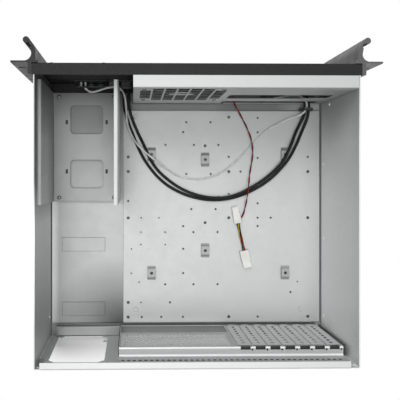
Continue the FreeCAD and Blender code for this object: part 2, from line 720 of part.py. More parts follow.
def field_holes():
    """Staggered six-sided perforation above the board's sockets."""
    holes = []
    rise = FIELD_PITCH * math.sqrt(3) / 2
    rows = int((FIELD_TOP - FIELD_BOTTOM) / rise) + 1
    columns = int((FIELD_LEFT - FIELD_RIGHT) / FIELD_PITCH)
    for row in range(rows):
        shift = FIELD_PITCH / 2 * (row % 2)
        for column in range(columns):
            x = FIELD_LEFT - FIELD_PITCH * (column + 0.5) + shift - FIELD_PITCH / 4
            z = FIELD_BOTTOM + rise * row
            holes.append(hexagon(x, z, HEX_ACROSS, STEP_WALL - PAST, STEP_WALL + SHEET + PAST))
    return holes


def vent_row():
    """Single row of vents in the upper wall."""
    holes = []
    x = STEP_LEFT - ROW_MARGIN
    while x > STEP_RIGHT + ROW_MARGIN:
        holes.append(hexagon(x, ROW_HEIGHT, ROW_ACROSS, UPPER_WALL - PAST, UPPER_WALL + SHEET + PAST))
        x -= ROW_PITCH
    return holes


def stepped_wall():
    """Rear wall in two steps: sockets, perforation and slots below, ledge, upper wall with vents."""
    foot = STEP_WALL + STEP_IN - BEND - 2 * SHEET - SEAT
    rim = HEIGHT - SHEET
    section = ((foot, FLOOR), (STEP_WALL, FLOOR), (STEP_WALL, STEP_TOP), (UPPER_WALL, STEP_TOP),
               (UPPER_WALL, rim))
    wall = sheet_across(section, STEP_RIGHT, STEP_LEFT - SEAT, -1)
    holes = [io_cut()] + field_holes() + vent_row()
    for x in slot_places():
        half = SLOT_OPENING / 2
        holes.append(box(x - half, x + half, STEP_WALL - PAST, STEP_WALL + SLOT_NOTCH,
                         SLOT_BOTTOM, STEP_TOP + PAST))
        spot = vec(x - SLOT_SCREW_SIDE, STEP_WALL + SLOT_NOTCH, STEP_TOP - SHEET - PAST)
        holes.append(rod(SLOT_SCREW_R, spot, spot.add(vec(0, 0, SHEET + 2))))
    return cut(wall, holes)


def slot_cover(x):
    """Blank over one card slot, with a column of vents and a tongue behind the tray."""
    half = COVER_WIDTH / 2
    foot = COVER_FOOT / 2
    shoulder = COVER_BOTTOM + COVER_FOOT_HEIGHT
    front = STEP_WALL - COVER_SHEET
    full = shoulder + COVER_SHOULDER
    outline = ((-foot, COVER_BOTTOM), (foot, COVER_BOTTOM), (foot, shoulder), (half, full),
               (half, COVER_TOP), (-half, COVER_TOP), (-half, full), (-foot, shoulder))
    plate = prism([vec(x + u, front, v) for u, v in outline], vec(0, COVER_SHEET, 0))
    vents = []
    first = (shoulder + COVER_TOP) / 2 - COVER_VENT_PITCH * (COVER_VENTS - 1) / 2
    for step in range(COVER_VENTS):
        z = first + COVER_VENT_PITCH * step
        wide = COVER_VENT_WIDTH / 2
        tall = COVER_VENT_HEIGHT / 2
        vents.append(box(x - wide, x + wide, front - PAST, STEP_WALL + PAST, z - tall, z + tall))
    return cut(plate, vents)


# ---- Fan bracket and fan ----
def fan_corners():
    half = FAN_HOLE_PITCH / 2
    return [(FAN_X + a * half, FAN_Z + b * half) for a in (-1, 1) for b in (-1, 1)]


def grille_holes():
    """Square holes in seven columns and rows, without the four corners."""
    holes = []
    wide = GRILLE_HOLE_WIDTH / 2
    tall = GRILLE_HOLE_HEIGHT / 2
    for column in range(GRILLE_COLUMNS):
        x = FAN_X + (column - (GRILLE_COLUMNS - 1) / 2) * GRILLE_PITCH
        rows = GRILLE_END_ROWS if column in (0, GRILLE_COLUMNS - 1) else GRILLE_ROWS
        for row in range(rows):
            z = FAN_Z + (row - (rows - 1) / 2) * GRILLE_PITCH
            holes.append(box(x - wide, x + wide, BRACKET_WALL - SHEET - PAST, BRACKET_WALL + PAST,
                             z - tall, z + tall))
    return holes


def long_opening(heights):
    block = box(PASS_LEFT, PASS_RIGHT, BRACKET_WALL - SHEET - PAST, BRACKET_WALL + PAST,
                heights[0], heights[1])
    return rounded(block, PASS_RADIUS, vec(0, 1, 0))


def fan_bracket():
    """Cross member: rim flange, wall with the fan grille and two long openings, foot."""
    foot = FLOOR + SHEET
    section = ((BRACKET_WALL + BRACKET_FOOT, foot), (BRACKET_WALL, foot), (BRACKET_WALL, HEIGHT),
               (PANEL_BACK + SEAT, HEIGHT))
    right = -(WALL_INSIDE - SHEET - SEAT)
    sheet = sheet_across(section, right, BRACKET_LEFT, 1)
    holes = grille_holes() + [long_opening(PASS_UPPER), long_opening(PASS_LOWER)]
    for x, z in fan_corners():
        holes.append(rod(SCREW_R + HOLE_PLAY, vec(x, BRACKET_WALL - SHEET - PAST, z),
                         vec(x, BRACKET_WALL + PAST, z)))
    return cut(sheet, holes)


def fan_frame():
    """Square fan housing: round duct with closed corners, motor cup and struts."""
    rear = BRACKET_WALL - SHEET
    front = rear - FAN_DEPTH
    half = FAN_SIZE / 2
    block = box(FAN_X - half, FAN_X + half, front, rear, FAN_Z - half, FAN_Z + half)
    block = rounded(block, FAN_CORNER, vec(0, 1, 0))
    bore = rod(FAN_BORE_R, vec(FAN_X, front - PAST, FAN_Z), vec(FAN_X, rear + PAST, FAN_Z))
    holes = [rod(FAN_HOLE_R, vec(x, front - PAST, z), vec(x, rear + PAST, z)) for x, z in fan_corners()]
    shell = cut(block, [bore] + holes)
    cup = rod(FAN_HUB_R, vec(FAN_X, rear - MOTOR_CUP, FAN_Z), vec(FAN_X, rear, FAN_Z))
    struts = []
    for step in range(STRUT_COUNT):
        strut = box(FAN_HUB_R - STRUT_ROOT, FAN_BORE_R + STRUT_ROOT / 2, rear - MOTOR_CUP, rear - STRUT_INSET,
                    -STRUT_WIDTH / 2, STRUT_WIDTH / 2)
        strut.rotate(vec(0, 0, 0), vec(0, 1, 0), 360 / STRUT_COUNT * (step + 0.5))
        strut.translate(vec(FAN_X, 0, FAN_Z))
        struts.append(strut)
    bearing = rod(SHAFT_R + SHAFT_PLAY, vec(FAN_X, rear - MOTOR_CUP - PAST, FAN_Z),
                  vec(FAN_X, rear - STRUT_INSET, FAN_Z))
    return cut(fuse([shell, cup] + struts), [bearing])


def blade_section(radius, chord, angle):
    """Cambered blade section on the tangent plane at one radius, as a closed outline."""
    tilt = math.radians(angle)
    outline = ((-0.5, 0.0), (0.0, BLADE_CAMBER + BLADE_THICK), (0.5, 0.0), (0.0, BLADE_CAMBER))
    points = []
    for along, lift in outline:
        run = along * chord
        across = run * math.cos(tilt) - lift * math.sin(tilt)
        deep = run * math.sin(tilt) + lift * math.cos(tilt)
        points.append(vec(radius, deep, across))
    return Part.makePolygon(points + [points[0]])


def fan_rotor():
    """Hub cup with its shaft and seven twisted blades."""
    rear = BRACKET_WALL - SHEET - MOTOR_CUP - ROTOR_GAP
    front = rear - ROTOR_DEPTH
    hub = rod(ROTOR_HUB_R, vec(FAN_X, front, FAN_Z), vec(FAN_X, rear, FAN_Z))
    hub = hub.makeFillet(HUB_FILLET, [edge for edge in hub.Edges if edge.BoundBox.YMax < front + SHAFT_PLAY])
    shaft = rod(SHAFT_R, vec(FAN_X, rear, FAN_Z), vec(FAN_X, rear + SHAFT_LENGTH, FAN_Z))
    blades = []
    for step in range(BLADE_COUNT):
        root = blade_section(ROTOR_HUB_R - BLADE_ROOT, BLADE_ROOT_CHORD, BLADE_ROOT_ANGLE)
        tip = blade_section(BLADE_TIP_R, BLADE_TIP_CHORD, BLADE_TIP_ANGLE)
        blade = Part.makeLoft([root, tip], True, True)
        blade.rotate(vec(0, 0, 0), vec(0, 1, 0), 360 / BLADE_COUNT * step)
        blade.translate(vec(FAN_X, (front + rear) / 2, FAN_Z))
        blades.append(blade)
    return fuse([hub, shaft] + blades)


def fan_screws():
    """Four screws through the bracket into the fan's corner holes."""
    forward = vec(0, -1, 0)
    screws = [screw(vec(x, BRACKET_WALL, z), forward, FAN_SCREW_LENGTH) for x, z in fan_corners()]
    return Part.makeCompound(screws)


# ---- Drive cage ----
def cage_feet():
    """Centres of the cage's four screws."""
    places = []
    for a in (-1, 1):
        for y in (CAGE_FRONT + CAGE_SCREW_INSET, CAGE_FRONT + CAGE_LENGTH - CAGE_SCREW_INSET):
            places.append((CAGE_X + a * CAGE_SCREW_X, y))
    return places


def drive_cage():
    """U-shaped sheet: inward flange, floor with two windows and drive slots, outward flange."""
    inner = CAGE_X - CAGE_INSIDE / 2 - SHEET
    outer = CAGE_X + CAGE_INSIDE / 2 + SHEET
    section = ((inner + CAGE_FLANGE, CAGE_TOP), (inner, CAGE_TOP), (inner, CAGE_BOTTOM), (outer, CAGE_BOTTOM),
               (outer, CAGE_TOP - SHEET), (WALL_INSIDE, CAGE_TOP - SHEET))
    sheet = sheet_along(section, CAGE_FRONT, CAGE_FRONT + CAGE_LENGTH, 1)
    holes = []
    for place in WINDOW_PLACES:
        y = CAGE_FRONT + place
        block = box(CAGE_X - WINDOW_WIDTH / 2, CAGE_X + WINDOW_WIDTH / 2, y - WINDOW_DEPTH / 2,
                    y + WINDOW_DEPTH / 2, CAGE_BOTTOM - PAST, CAGE_BOTTOM + SHEET + PAST)
        holes.append(rounded(block, WINDOW_RADIUS, vec(0, 0, 1)))
    for a in (-1, 1):
        for b in (-1, 1):
            x = CAGE_X + a * DRIVE_SPACING_X / 2
            y = CAGE_FRONT + DRIVE_CENTRE + b * DRIVE_SPACING_Y / 2
            holes.append(box(x - DRIVE_SLOT[0] / 2, x + DRIVE_SLOT[0] / 2, y - DRIVE_SLOT[1] / 2,
                             y + DRIVE_SLOT[1] / 2, CAGE_BOTTOM - PAST, CAGE_BOTTOM + SHEET + PAST))
    for z in SIDE_SLOT_HEIGHTS:
        for place in SIDE_SLOT_PLACES:
            y = CAGE_FRONT + place
            for x0, x1 in ((inner - PAST, inner + SHEET + PAST), (outer - SHEET - PAST, outer + PAST)):
                holes.append(box(x0, x1, y - SIDE_SLOT[0] / 2, y + SIDE_SLOT[0] / 2, z - SIDE_SLOT[1] / 2,
                                 z + SIDE_SLOT[1] / 2))
    feet = []
    for x, y in cage_feet():
        feet.append(Part.makeCone(CAGE_FOOT_R - CAGE_FOOT_SLOPE, CAGE_FOOT_R, CAGE_BOTTOM - BAY_TOP,
                                  vec(x, y, BAY_TOP)))
        holes.append(rod(SCREW_R + HOLE_PLAY, vec(x, y, BAY_TOP - PAST),
                         vec(x, y, CAGE_BOTTOM + SHEET + PAST)))
    return cut(fuse([sheet] + feet), holes)


def cage_screws():
    """Screws down through the cage's feet."""
    top = CAGE_BOTTOM + SHEET
    length = top - BAY_TOP
    return Part.makeCompound([screw(vec(x, y, top), vec(0, 0, -1), length) for x, y in cage_feet()])


# ---- Front panel, handles and covers ----
def panel_vents():
    """Upright slots in front of the fan."""
    slots = []
    for column in range(VENT_COLUMNS):
        x = FAN_X + (column - (VENT_COLUMNS - 1) / 2) * VENT_PITCH
        for row in range(VENT_BARS):
            z = FAN_Z + (row - (VENT_BARS - 1) / 2) * VENT_ROW_PITCH
            slots.append(box(x - VENT_SLOT / 2, x + VENT_SLOT / 2, FRONT - PAST, PANEL_INSIDE + PAST,
                             z - VENT_LENGTH / 2, z + VENT_LENGTH / 2))
    return slots


def bay_screw_places():
    middle = BAY_LEFT - BAY_WIDTH / 2
    places = []
    for a in (-1, 1):
        for z in (BAY_BOTTOM - BAY_LIP / 2, BAY_BOTTOM + BAY_HEIGHT + BAY_LIP / 2):
            places.append((middle + a * BAY_SCREW_X, z))
    return places


def front_panel():
    """Black folded panel: face with four folded edges, vents, bay and socket openings."""
    section = ((PANEL_BACK, HEIGHT), (FRONT, HEIGHT), (FRONT, 0.0), (PANEL_BACK, 0.0))
    sheet = sheet_across(section, -PANEL_HALF, PANEL_HALF, 1, PANEL_SHEET)
    relief = PANEL_SHEET + BEND
    sides = []
    for side in (1, -1):
        x0 = side * PANEL_HALF
        x1 = side * (PANEL_HALF - PANEL_SHEET)
        sides.append(box(x0, x1, PANEL_INSIDE, PANEL_BACK, relief, HEIGHT - relief))
    holes = panel_vents()
    bay = box(BAY_LEFT - BAY_WIDTH, BAY_LEFT, FRONT - PAST, PANEL_INSIDE + PAST,
              BAY_BOTTOM, BAY_BOTTOM + BAY_HEIGHT)
    holes.append(rounded(bay, BAY_RADIUS, vec(0, 1, 0)))
    io_half = IO_PANEL_WIDTH / 2
    holes.append(box(IO_PANEL_X - io_half, IO_PANEL_X + io_half, FRONT - PAST, PANEL_INSIDE + PAST,
                     IO_PANEL_Z - IO_PANEL_HEIGHT / 2, IO_PANEL_Z + IO_PANEL_HEIGHT / 2))
    for x, z in bay_screw_places():
        holes.append(rod(SCREW_R + HOLE_PLAY, vec(x, FRONT - PAST, z), vec(x, PANEL_INSIDE + PAST, z)))
    for side, height in handle_screw_places():
        holes.append(side_screw_hole(side, height, SCREW_R + HOLE_PLAY))
    return cut(fuse([sheet] + sides), holes)


def handle_outline(side):
    """Closed outline of the extrusion: leg, rack ear, stem and rounded grip, seen from above."""
    blade = FRONT - BLADE_SHEET
    knob_x = PANEL_HALF + KNOB_OUT
    knob_y = FRONT - HANDLE_REACH + KNOB_R
    ear = RACK_WIDTH / 2
    outer_leg = PANEL_HALF + LEG_THICK
    toe = PANEL_HALF - TOE_INSET
    outer = [(PANEL_HALF + out, blade - ahead) for out, ahead in STEM_OUTER]
    inner = [(PANEL_HALF + out, blade - ahead) for out, ahead in STEM_INNER]
    grip = []
    for angle in (90.0, (90.0 + GRIP_END) / 2 - 180.0, GRIP_END):
        turn = math.radians(angle)
        grip.append((knob_x + KNOB_R * math.cos(turn), knob_y + KNOB_R * math.sin(turn)))
    runs = [
        ((PANEL_HALF, FRONT + LEG_DEPTH),),
        ((outer_leg, FRONT + LEG_DEPTH),),
        ((outer_leg, FRONT),),
        ((ear, FRONT),),
        ((ear, blade),),
        ((outer_leg + EAR_FILLET, blade),),
        (outer[0], outer[1]),
        (outer[2],),
        (outer[3], grip[0]),
        (grip[1], grip[2]),
        (inner[0],),
        (inner[1], inner[2]),
        (inner[3],),
        (inner[4], inner[5]),
        ((toe, blade),),
        ((toe, FRONT),),
        ((PANEL_HALF, FRONT),),
    ]
    edges = []
    here = (PANEL_HALF, FRONT)
    for run in runs:
        points = [vec(side * p[0], p[1], 0) for p in (here,) + run]
        if len(points) == 3:
            edges.append(Part.Arc(points[0], points[1], points[2]).toShape())
        else:
            edges.append(Part.makeLine(points[0], points[1]))
        here = run[-1]
    return Part.Face(Part.Wire(edges))


def handle(side):
    """Extruded handle with its rack ear, pierced for the rack and for its own screws."""
    bar = handle_outline(side).extrude(vec(0, 0, HEIGHT))
    holes = []
    for a in (-1, 1):
        x = side * (RACK_WIDTH / 2 - EAR_SLOT_IN)
        z = HEIGHT / 2 + a * EAR_SLOT_SPACING / 2
        holes.append(level_slot(x, z, EAR_SLOT[0], EAR_SLOT[1] / 2, FRONT - BLADE_SHEET - PAST, FRONT + PAST))
    for here, height in handle_screw_places():
        if here == side:
            holes.append(side_screw_hole(side, height, SCREW_R + HOLE_PLAY))
    return cut(bar, holes)


def handle_screws():
    """Six screws through the handles' legs into the side walls' tongues."""
    screws = []
    y = FRONT + LEG_DEPTH / 2
    head = PANEL_HALF + LEG_THICK
    length = head - WALL_INSIDE + SHEET
    for side, height in handle_screw_places():
        screws.append(screw(vec(side * head, y, height), vec(-side, 0, 0), length))
    return Part.makeCompound(screws)


def bay_cover():
    """Blank for the bay ahead of the drive cage: flush pad on a wider plate."""
    x0 = BAY_LEFT - BAY_WIDTH + BAY_FIT
    x1 = BAY_LEFT - BAY_FIT
    z0 = BAY_BOTTOM + BAY_FIT
    z1 = BAY_BOTTOM + BAY_HEIGHT - BAY_FIT
    pad = rounded(box(x0, x1, FRONT, PANEL_INSIDE, z0, z1), BAY_RADIUS, vec(0, 1, 0))
    plate = box(x0 - BAY_SIDE_LIP, x1 + BAY_SIDE_LIP, PANEL_INSIDE, PANEL_INSIDE + SHEET,
                BAY_BOTTOM - BAY_LIP, BAY_BOTTOM + BAY_HEIGHT + BAY_LIP)
    holes = []
    for x, z in bay_screw_places():
        holes.append(rod(SCREW_R + HOLE_PLAY, vec(x, FRONT - PAST, z),
                         vec(x, PANEL_INSIDE + SHEET + PAST, z)))
    return cut(fuse([pad, plate]), holes)


def bay_screws():
    length = PANEL_SHEET + SHEET + BAY_SCREW_PAST
    return Part.makeCompound([screw(vec(x, FRONT, z), vec(0, 1, 0), length) for x, z in bay_screw_places()])


def button_hole(x, radius):
    return io_rod(x, radius + BUTTON_PLAY, FRONT - BEZEL_PROUD - PAST, PANEL_INSIDE + BEZEL_LIP + PAST)


def io_rod(x, radius, y_low, y_high):
    """Round piece or hole of the front socket group, at the group's own height."""
    return rod(radius, vec(IO_PANEL_X + x, y_low, IO_PANEL_Z), vec(IO_PANEL_X + x, y_high, IO_PANEL_Z))


def usb_block(x, grow, y_low, y_high):
    wide = USB_WIDTH / 2 + grow
    high = USB_HEIGHT / 2 + grow
    middle = IO_PANEL_X + x
    return box(middle - wide, middle + wide, y_low, y_high, IO_PANEL_Z - high, IO_PANEL_Z + high)


def io_bezel():
    """Moulded insert round the sockets, buttons and light pipes."""
    half = IO_PANEL_WIDTH / 2 - SEAT
    tall = IO_PANEL_HEIGHT / 2 - SEAT
    back = PANEL_INSIDE + BEZEL_LIP
    front = FRONT - BEZEL_PROUD
    face = box(IO_PANEL_X - half, IO_PANEL_X + half, front, PANEL_INSIDE,
               IO_PANEL_Z - tall, IO_PANEL_Z + tall)
    lip = box(IO_PANEL_X - half - IO_LIP, IO_PANEL_X + half + IO_LIP, PANEL_INSIDE, back,
              IO_PANEL_Z - tall - IO_LIP, IO_PANEL_Z + tall + IO_LIP)
    holes = [button_hole(POWER_X, POWER_R), button_hole(RESET_X, RESET_R)]
    holes += [usb_block(x, SEAT, front - PAST, back + PAST) for x in USB_PLACES]
    holes += [io_rod(x, LIGHT_R + SEAT / 2, front - PAST, back + PAST) for x in LIGHT_PLACES]
    return cut(fuse([face, lip]), holes)


def board_front():
    return PANEL_INSIDE + BOARD_GAP


def io_board():
    """Small circuit board behind the insert, with its two posts and two switch bodies."""
    front = board_front()
    half = IO_PANEL_WIDTH / 2
    lip = PANEL_INSIDE + BEZEL_LIP
    pieces = [box(IO_PANEL_X - half, IO_PANEL_X + half, front, front + BOARD_SHEET, BOARD_LOW, BOARD_HIGH)]
    for a in (-1, 1):
        x = IO_PANEL_X + a * (half - BOARD_POST_R)
        z = BOARD_LOW + BOARD_POST_LIFT
        pieces.append(rod(BOARD_POST_R, vec(x, lip, z), vec(x, front, z)))
    for x in (POWER_X, RESET_X):
        mid = IO_PANEL_X + x
        reach = SWITCH_SIZE / 2
        pieces.append(box(mid - reach, mid + reach, front - SWITCH_DEPTH, front,
                          IO_PANEL_Z - reach, IO_PANEL_Z + reach))
    sockets = [usb_block(x, SEAT, front - PAST, front + BOARD_SHEET + PAST) for x in USB_PLACES]
    return cut(fuse(pieces), sockets)


def usb_socket(x):
    """Metal socket shell with its tongue, through the insert and the board."""
    front = FRONT - USB_PROUD
    back = front + USB_DEPTH
    hollow = usb_block(x, -SOCKET_WALL, front - PAST, back - 2 * SOCKET_WALL)
    left = IO_PANEL_X + x - USB_WIDTH / 2 + TONGUE_GAP
    tongue = box(left, left + USB_WIDTH - 2 * TONGUE_GAP, front + TONGUE_GAP, back - SOCKET_WALL,
                 IO_PANEL_Z + TONGUE_Z[0], IO_PANEL_Z + TONGUE_Z[1])
    return fuse([cut(usb_block(x, 0, front, back), [hollow]), tongue])


def button(x, radius):
    """Round push button: chamfered cap, collar behind the insert, stem before the switch."""
    face = FRONT - BEZEL_PROUD - BUTTON_PROUD
    collar = PANEL_INSIDE + BEZEL_LIP + SEAT
    cap = io_rod(x, radius, face, collar)
    rim = [edge for edge in cap.Edges if edge.BoundBox.YMax < face + BUTTON_CHAMFER]
    cap = cap.makeChamfer(BUTTON_CHAMFER, rim)
    ring = io_rod(x, radius + BUTTON_COLLAR, collar, collar + BUTTON_COLLAR_DEPTH)
    stop = board_front() - SWITCH_DEPTH - BUTTON_TRAVEL - SEAT
    stem = io_rod(x, radius / 2, collar, stop)
    return fuse([cap, ring, stem])


def light_pipes():
    """Two short clear light pipes, from the board to the insert's face."""
    front = FRONT - BEZEL_PROUD - LIGHT_PROUD
    return Part.makeCompound([io_rod(x, LIGHT_R, front, board_front()) for x in LIGHT_PLACES])


# ---- Leads ----
def route_wire(points):
    """Straight runs joined by arcs, and the radius of each arc."""
    spots = [vec(*point) for point in points]
    edges = []
    radii = []
    here = spots[0]
    for before, corner, after in zip(spots, spots[1:], spots[2:]):
        into = corner.sub(before)
        out = after.sub(corner)
        reach = RUN_SHARE * min(into.Length, out.Length)
        turn = into.getAngle(out)
        into.normalize()
        out.normalize()
        radius = reach / math.tan(turn / 2)
        start = corner.sub(into * reach)
        end = corner.add(out * reach)
        inward = out.sub(into)
        inward.normalize()
        middle = corner.add(inward * (radius / math.cos(turn / 2) - radius))
        edges.append(Part.LineSegment(here, start).toShape())
        edges.append(Part.Arc(start, middle, end).toShape())
        radii.append(radius)
        here = end
    edges.append(Part.LineSegment(here, spots[-1]).toShape())
    return Part.Wire(edges), radii


def lead(name, points, diameter):
    """Round lead along its route."""
    wire, radii = route_wire(points)
    start = vec(*points[0])
    way = vec(*points[1]).sub(start)
    ring = Part.Wire(Part.makeCircle(diameter / 2, start, way))
    tube = wire.makePipeShell([ring], True, False)
    ideal = math.pi * diameter * diameter / 4 * wire.Length
    print(name, "length", round(wire.Length, 1), "volume ratio", round(abs(tube.Volume) / ideal, 4),
          "smallest radius", round(min(radii), 1), "all", [round(radius) for radius in radii])
    return tube


def plug_block(end, before, size):
    """Small rectangular plug whose face meets the end of a lead, in line with the last run."""
    tip = vec(*end)
    way = tip.sub(vec(*before))
    way.z = 0
    way.normalize()
    block = Part.makeBox(size[0], size[1], size[2], vec(0, -size[1] / 2, -size[2] / 2))
    turn = math.degrees(math.atan2(way.y, way.x))
    block.rotate(vec(0, 0, 0), vec(0, 0, 1), turn)
    block.translate(tip)
    return block


def lead_plug(route, size):
    return plug_block(route[-1], route[-2], size)


def flat_plug(back, angle, size):
    """White plug lying on the tray: its back face is centred on a point, and it runs along an angle."""
    width, length, height = size
    half = width / 2
    shoulder = length * PLUG_BODY
    body = rounded(box(-half, half, 0, shoulder, 0, height), PLUG_ROUND, vec(0, 1, 0))
    nose = box(PLUG_STEP - half, half - PLUG_STEP, shoulder, length, PLUG_NOSE_STEP, height - PLUG_NOSE_STEP)
    key = box(-half / 2, half / 2, length * PLUG_KEY[0], length * PLUG_KEY[1], height, height + PLUG_STEP)
    ways = []
    pitch = (width - PLUG_MARGIN) / PLUG_WAYS
    for step in range(PLUG_WAYS):
        x = (step - (PLUG_WAYS - 1) / 2) * pitch
        ways.append(rod(PLUG_WAY_R, vec(x, length - PLUG_WAY_DEPTH, height / 2),
                        vec(x, length + PAST, height / 2)))
    plug = cut(fuse([body, nose, key]), ways)
    plug.rotate(vec(0, 0, 0), vec(0, 0, 1), angle)
    plug.translate(vec(back[0], back[1], TRAY_TOP + PLUG_LIFT))
    return plug


def cable_tie():
    """Strap round the leads ahead of the lower opening, with its square head."""
    right, left = TIE_X
    low, high = TIE_Z
    y = TIE_Y
    wall = TIE_WALL
    outer = rounded(box(right, left, y, y + TIE_WIDTH, low, high), TIE_BEND + wall, vec(0, 1, 0))
    hollow = box(right + wall, left - wall, y - PAST, y + TIE_WIDTH + PAST, low + wall, high - wall)
    head = box(left - wall, left + TIE_HEAD, y - TIE_LIP, y + TIE_WIDTH + TIE_LIP, low + TIE_HEAD,
               low + TIE_HEAD + TIE_HEAD_TALL)
    return fuse([cut(outer, [rounded(hollow, TIE_BEND, vec(0, 1, 0))]), head])


# ---- All nodes ----
def nodes():
    parts = {
        "base_pan": base_pan(),
        "board_tray": board_tray(),
        "bay_floor": bay_floor(),
        "psu_ledge": psu_ledge(),
        "rear_frame": rear_frame(),
        "stepped_wall": stepped_wall(),
        "fan_bracket": fan_bracket(),
        "fan_frame": fan_frame(),
        "fan_rotor": fan_rotor(),
        "fan_screws": fan_screws(),
        "drive_cage": drive_cage(),
        "cage_screws": cage_screws(),
        "front_panel": front_panel(),
        "handle_left": handle(1),
        "handle_right": handle(-1),
        "handle_screws": handle_screws(),
        "bay_cover": bay_cover(),
        "bay_screws": bay_screws(),
        "io_bezel": io_bezel(),
        "io_board": io_board(),
        "power_button": button(POWER_X, POWER_R),
        "reset_button": button(RESET_X, RESET_R),
        "light_pipes": light_pipes(),
        "black_lead_a": lead("black_lead_a", BLACK_ROUTE_A, BLACK_LEAD),
        "black_lead_b": lead("black_lead_b", BLACK_ROUTE_B, BLACK_LEAD),
        "grey_lead": lead("grey_lead", GREY_ROUTE, GREY_LEAD),
        "fan_lead": lead("fan_lead", FAN_ROUTE, FAN_LEAD),
        "adapter_lead": lead("adapter_lead", ADAPTER_ROUTE, ADAPTER_LEAD),
        "plug_a": lead_plug(BLACK_ROUTE_A, HEADER_PLUG),
        "plug_b": lead_plug(BLACK_ROUTE_B, HEADER_PLUG),
        "grey_plug": lead_plug(GREY_ROUTE, SMALL_PLUG),
        "fan_plug": flat_plug(FAN_PLUG_BACK, FAN_PLUG_TURN, FAN_PLUG),
        "power_plug": flat_plug(POWER_PLUG_BACK, POWER_PLUG_TURN, POWER_PLUG),
        "cable_tie": cable_tie(),
    }
    for number, x in enumerate(slot_places(), start=1):
        parts["slot_cover_%d" % number] = slot_cover(x)
    for number, x in enumerate(USB_PLACES, start=1):
        parts["usb_socket_%d" % number] = usb_socket(x)
    return parts


def main():
    os.makedirs("parts", exist_ok=True)
    for name, shape in nodes().items():
        shape.exportStep("parts/%s.step" % name)


main()
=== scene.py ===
import math

import bmesh
import bpy
from mathutils import Euler, Matrix, Quaternion, Vector


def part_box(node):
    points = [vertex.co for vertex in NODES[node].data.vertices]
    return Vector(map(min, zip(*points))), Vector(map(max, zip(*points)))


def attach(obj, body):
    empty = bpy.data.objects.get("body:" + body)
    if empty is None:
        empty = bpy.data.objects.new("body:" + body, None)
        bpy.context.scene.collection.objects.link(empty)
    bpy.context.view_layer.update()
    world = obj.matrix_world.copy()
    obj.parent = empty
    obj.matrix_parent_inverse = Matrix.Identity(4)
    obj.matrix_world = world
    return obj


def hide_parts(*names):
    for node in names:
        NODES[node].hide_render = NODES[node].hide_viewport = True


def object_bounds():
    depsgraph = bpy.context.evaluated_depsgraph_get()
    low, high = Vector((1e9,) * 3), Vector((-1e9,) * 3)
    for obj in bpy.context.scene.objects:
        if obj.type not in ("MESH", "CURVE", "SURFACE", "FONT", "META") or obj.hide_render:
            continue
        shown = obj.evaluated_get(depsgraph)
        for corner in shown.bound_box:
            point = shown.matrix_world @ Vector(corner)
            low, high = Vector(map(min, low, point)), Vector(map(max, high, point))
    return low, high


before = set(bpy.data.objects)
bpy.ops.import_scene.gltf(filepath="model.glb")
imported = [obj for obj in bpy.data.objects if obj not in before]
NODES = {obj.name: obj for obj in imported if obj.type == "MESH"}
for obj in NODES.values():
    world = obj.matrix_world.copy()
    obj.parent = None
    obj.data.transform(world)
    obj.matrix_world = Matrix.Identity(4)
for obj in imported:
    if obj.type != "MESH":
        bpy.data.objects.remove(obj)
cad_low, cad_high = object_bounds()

# Empty rackmount server case with its lid off. Metres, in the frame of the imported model:
# +Z up, front towards -Y. Left is +X, as seen from behind the case: the drive cage and the power
# supply's bay are on the left, the board tray is on the right.
MM = 0.001

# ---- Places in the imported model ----
PAN_LOW, PAN_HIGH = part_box("base_pan")
WALL_LOW, WALL_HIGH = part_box("stepped_wall")
CAGE_LOW, CAGE_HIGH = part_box("drive_cage")
FRONT, REAR = cad_low.y, cad_high.y       # tips of the handles and outer face of the rear frame
LEFT, RIGHT = PAN_HIGH.x, PAN_LOW.x       # outer faces of the side walls
TOP = PAN_HIGH.z
BAY_FLAT = CAGE_LOW.z             # the cage stands on the floor plate of the power supply's bay
SHEET = 1.0 * MM
TRAY_FLAT = 6.0 * MM              # flat top of the board tray
LEDGE = 135.0 * MM                # height of the ledge over the slots
LEDGE_DEPTH = 12.2 * MM           # from the wall with the slots back to the upper wall
SLOT_BOTTOM = 16.0 * MM

# ---- Field of fine perforation beside the slots ----
FIELD_LEFT = WALL_HIGH.x - 2.3 * MM
FIELD_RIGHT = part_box("slot_cover_1")[1].x + 9.5 * MM
FIELD_BOTTOM = 66.0 * MM
FIELD_TOP = LEDGE - 7.0 * MM
FIELD_SHEET = 0.6 * MM
FIELD_HOLES = {"pitch": 5.8 * MM, "hole": 2.55 * MM, "columns": 25, "rows": 12}

# ---- Screws, all of one size ----
HEAD_RADIUS = 3.2 * MM
HEAD_HEIGHT = 1.8 * MM
RECESS_WIDTH = 0.9 * MM
SHANK_RADIUS = 1.6 * MM

# ---- Leads ----
BLACK_LEAD = 4.5 * MM             # diameters
GREY_PAIR = 2.8 * MM
FAN_PAIR = 2.6 * MM
ADAPTER_WIRES = 5.0 * MM
LINE_STEP = 1.5 * MM              # between the points that a bundle of wires follows
WIRE_SIDES = 8

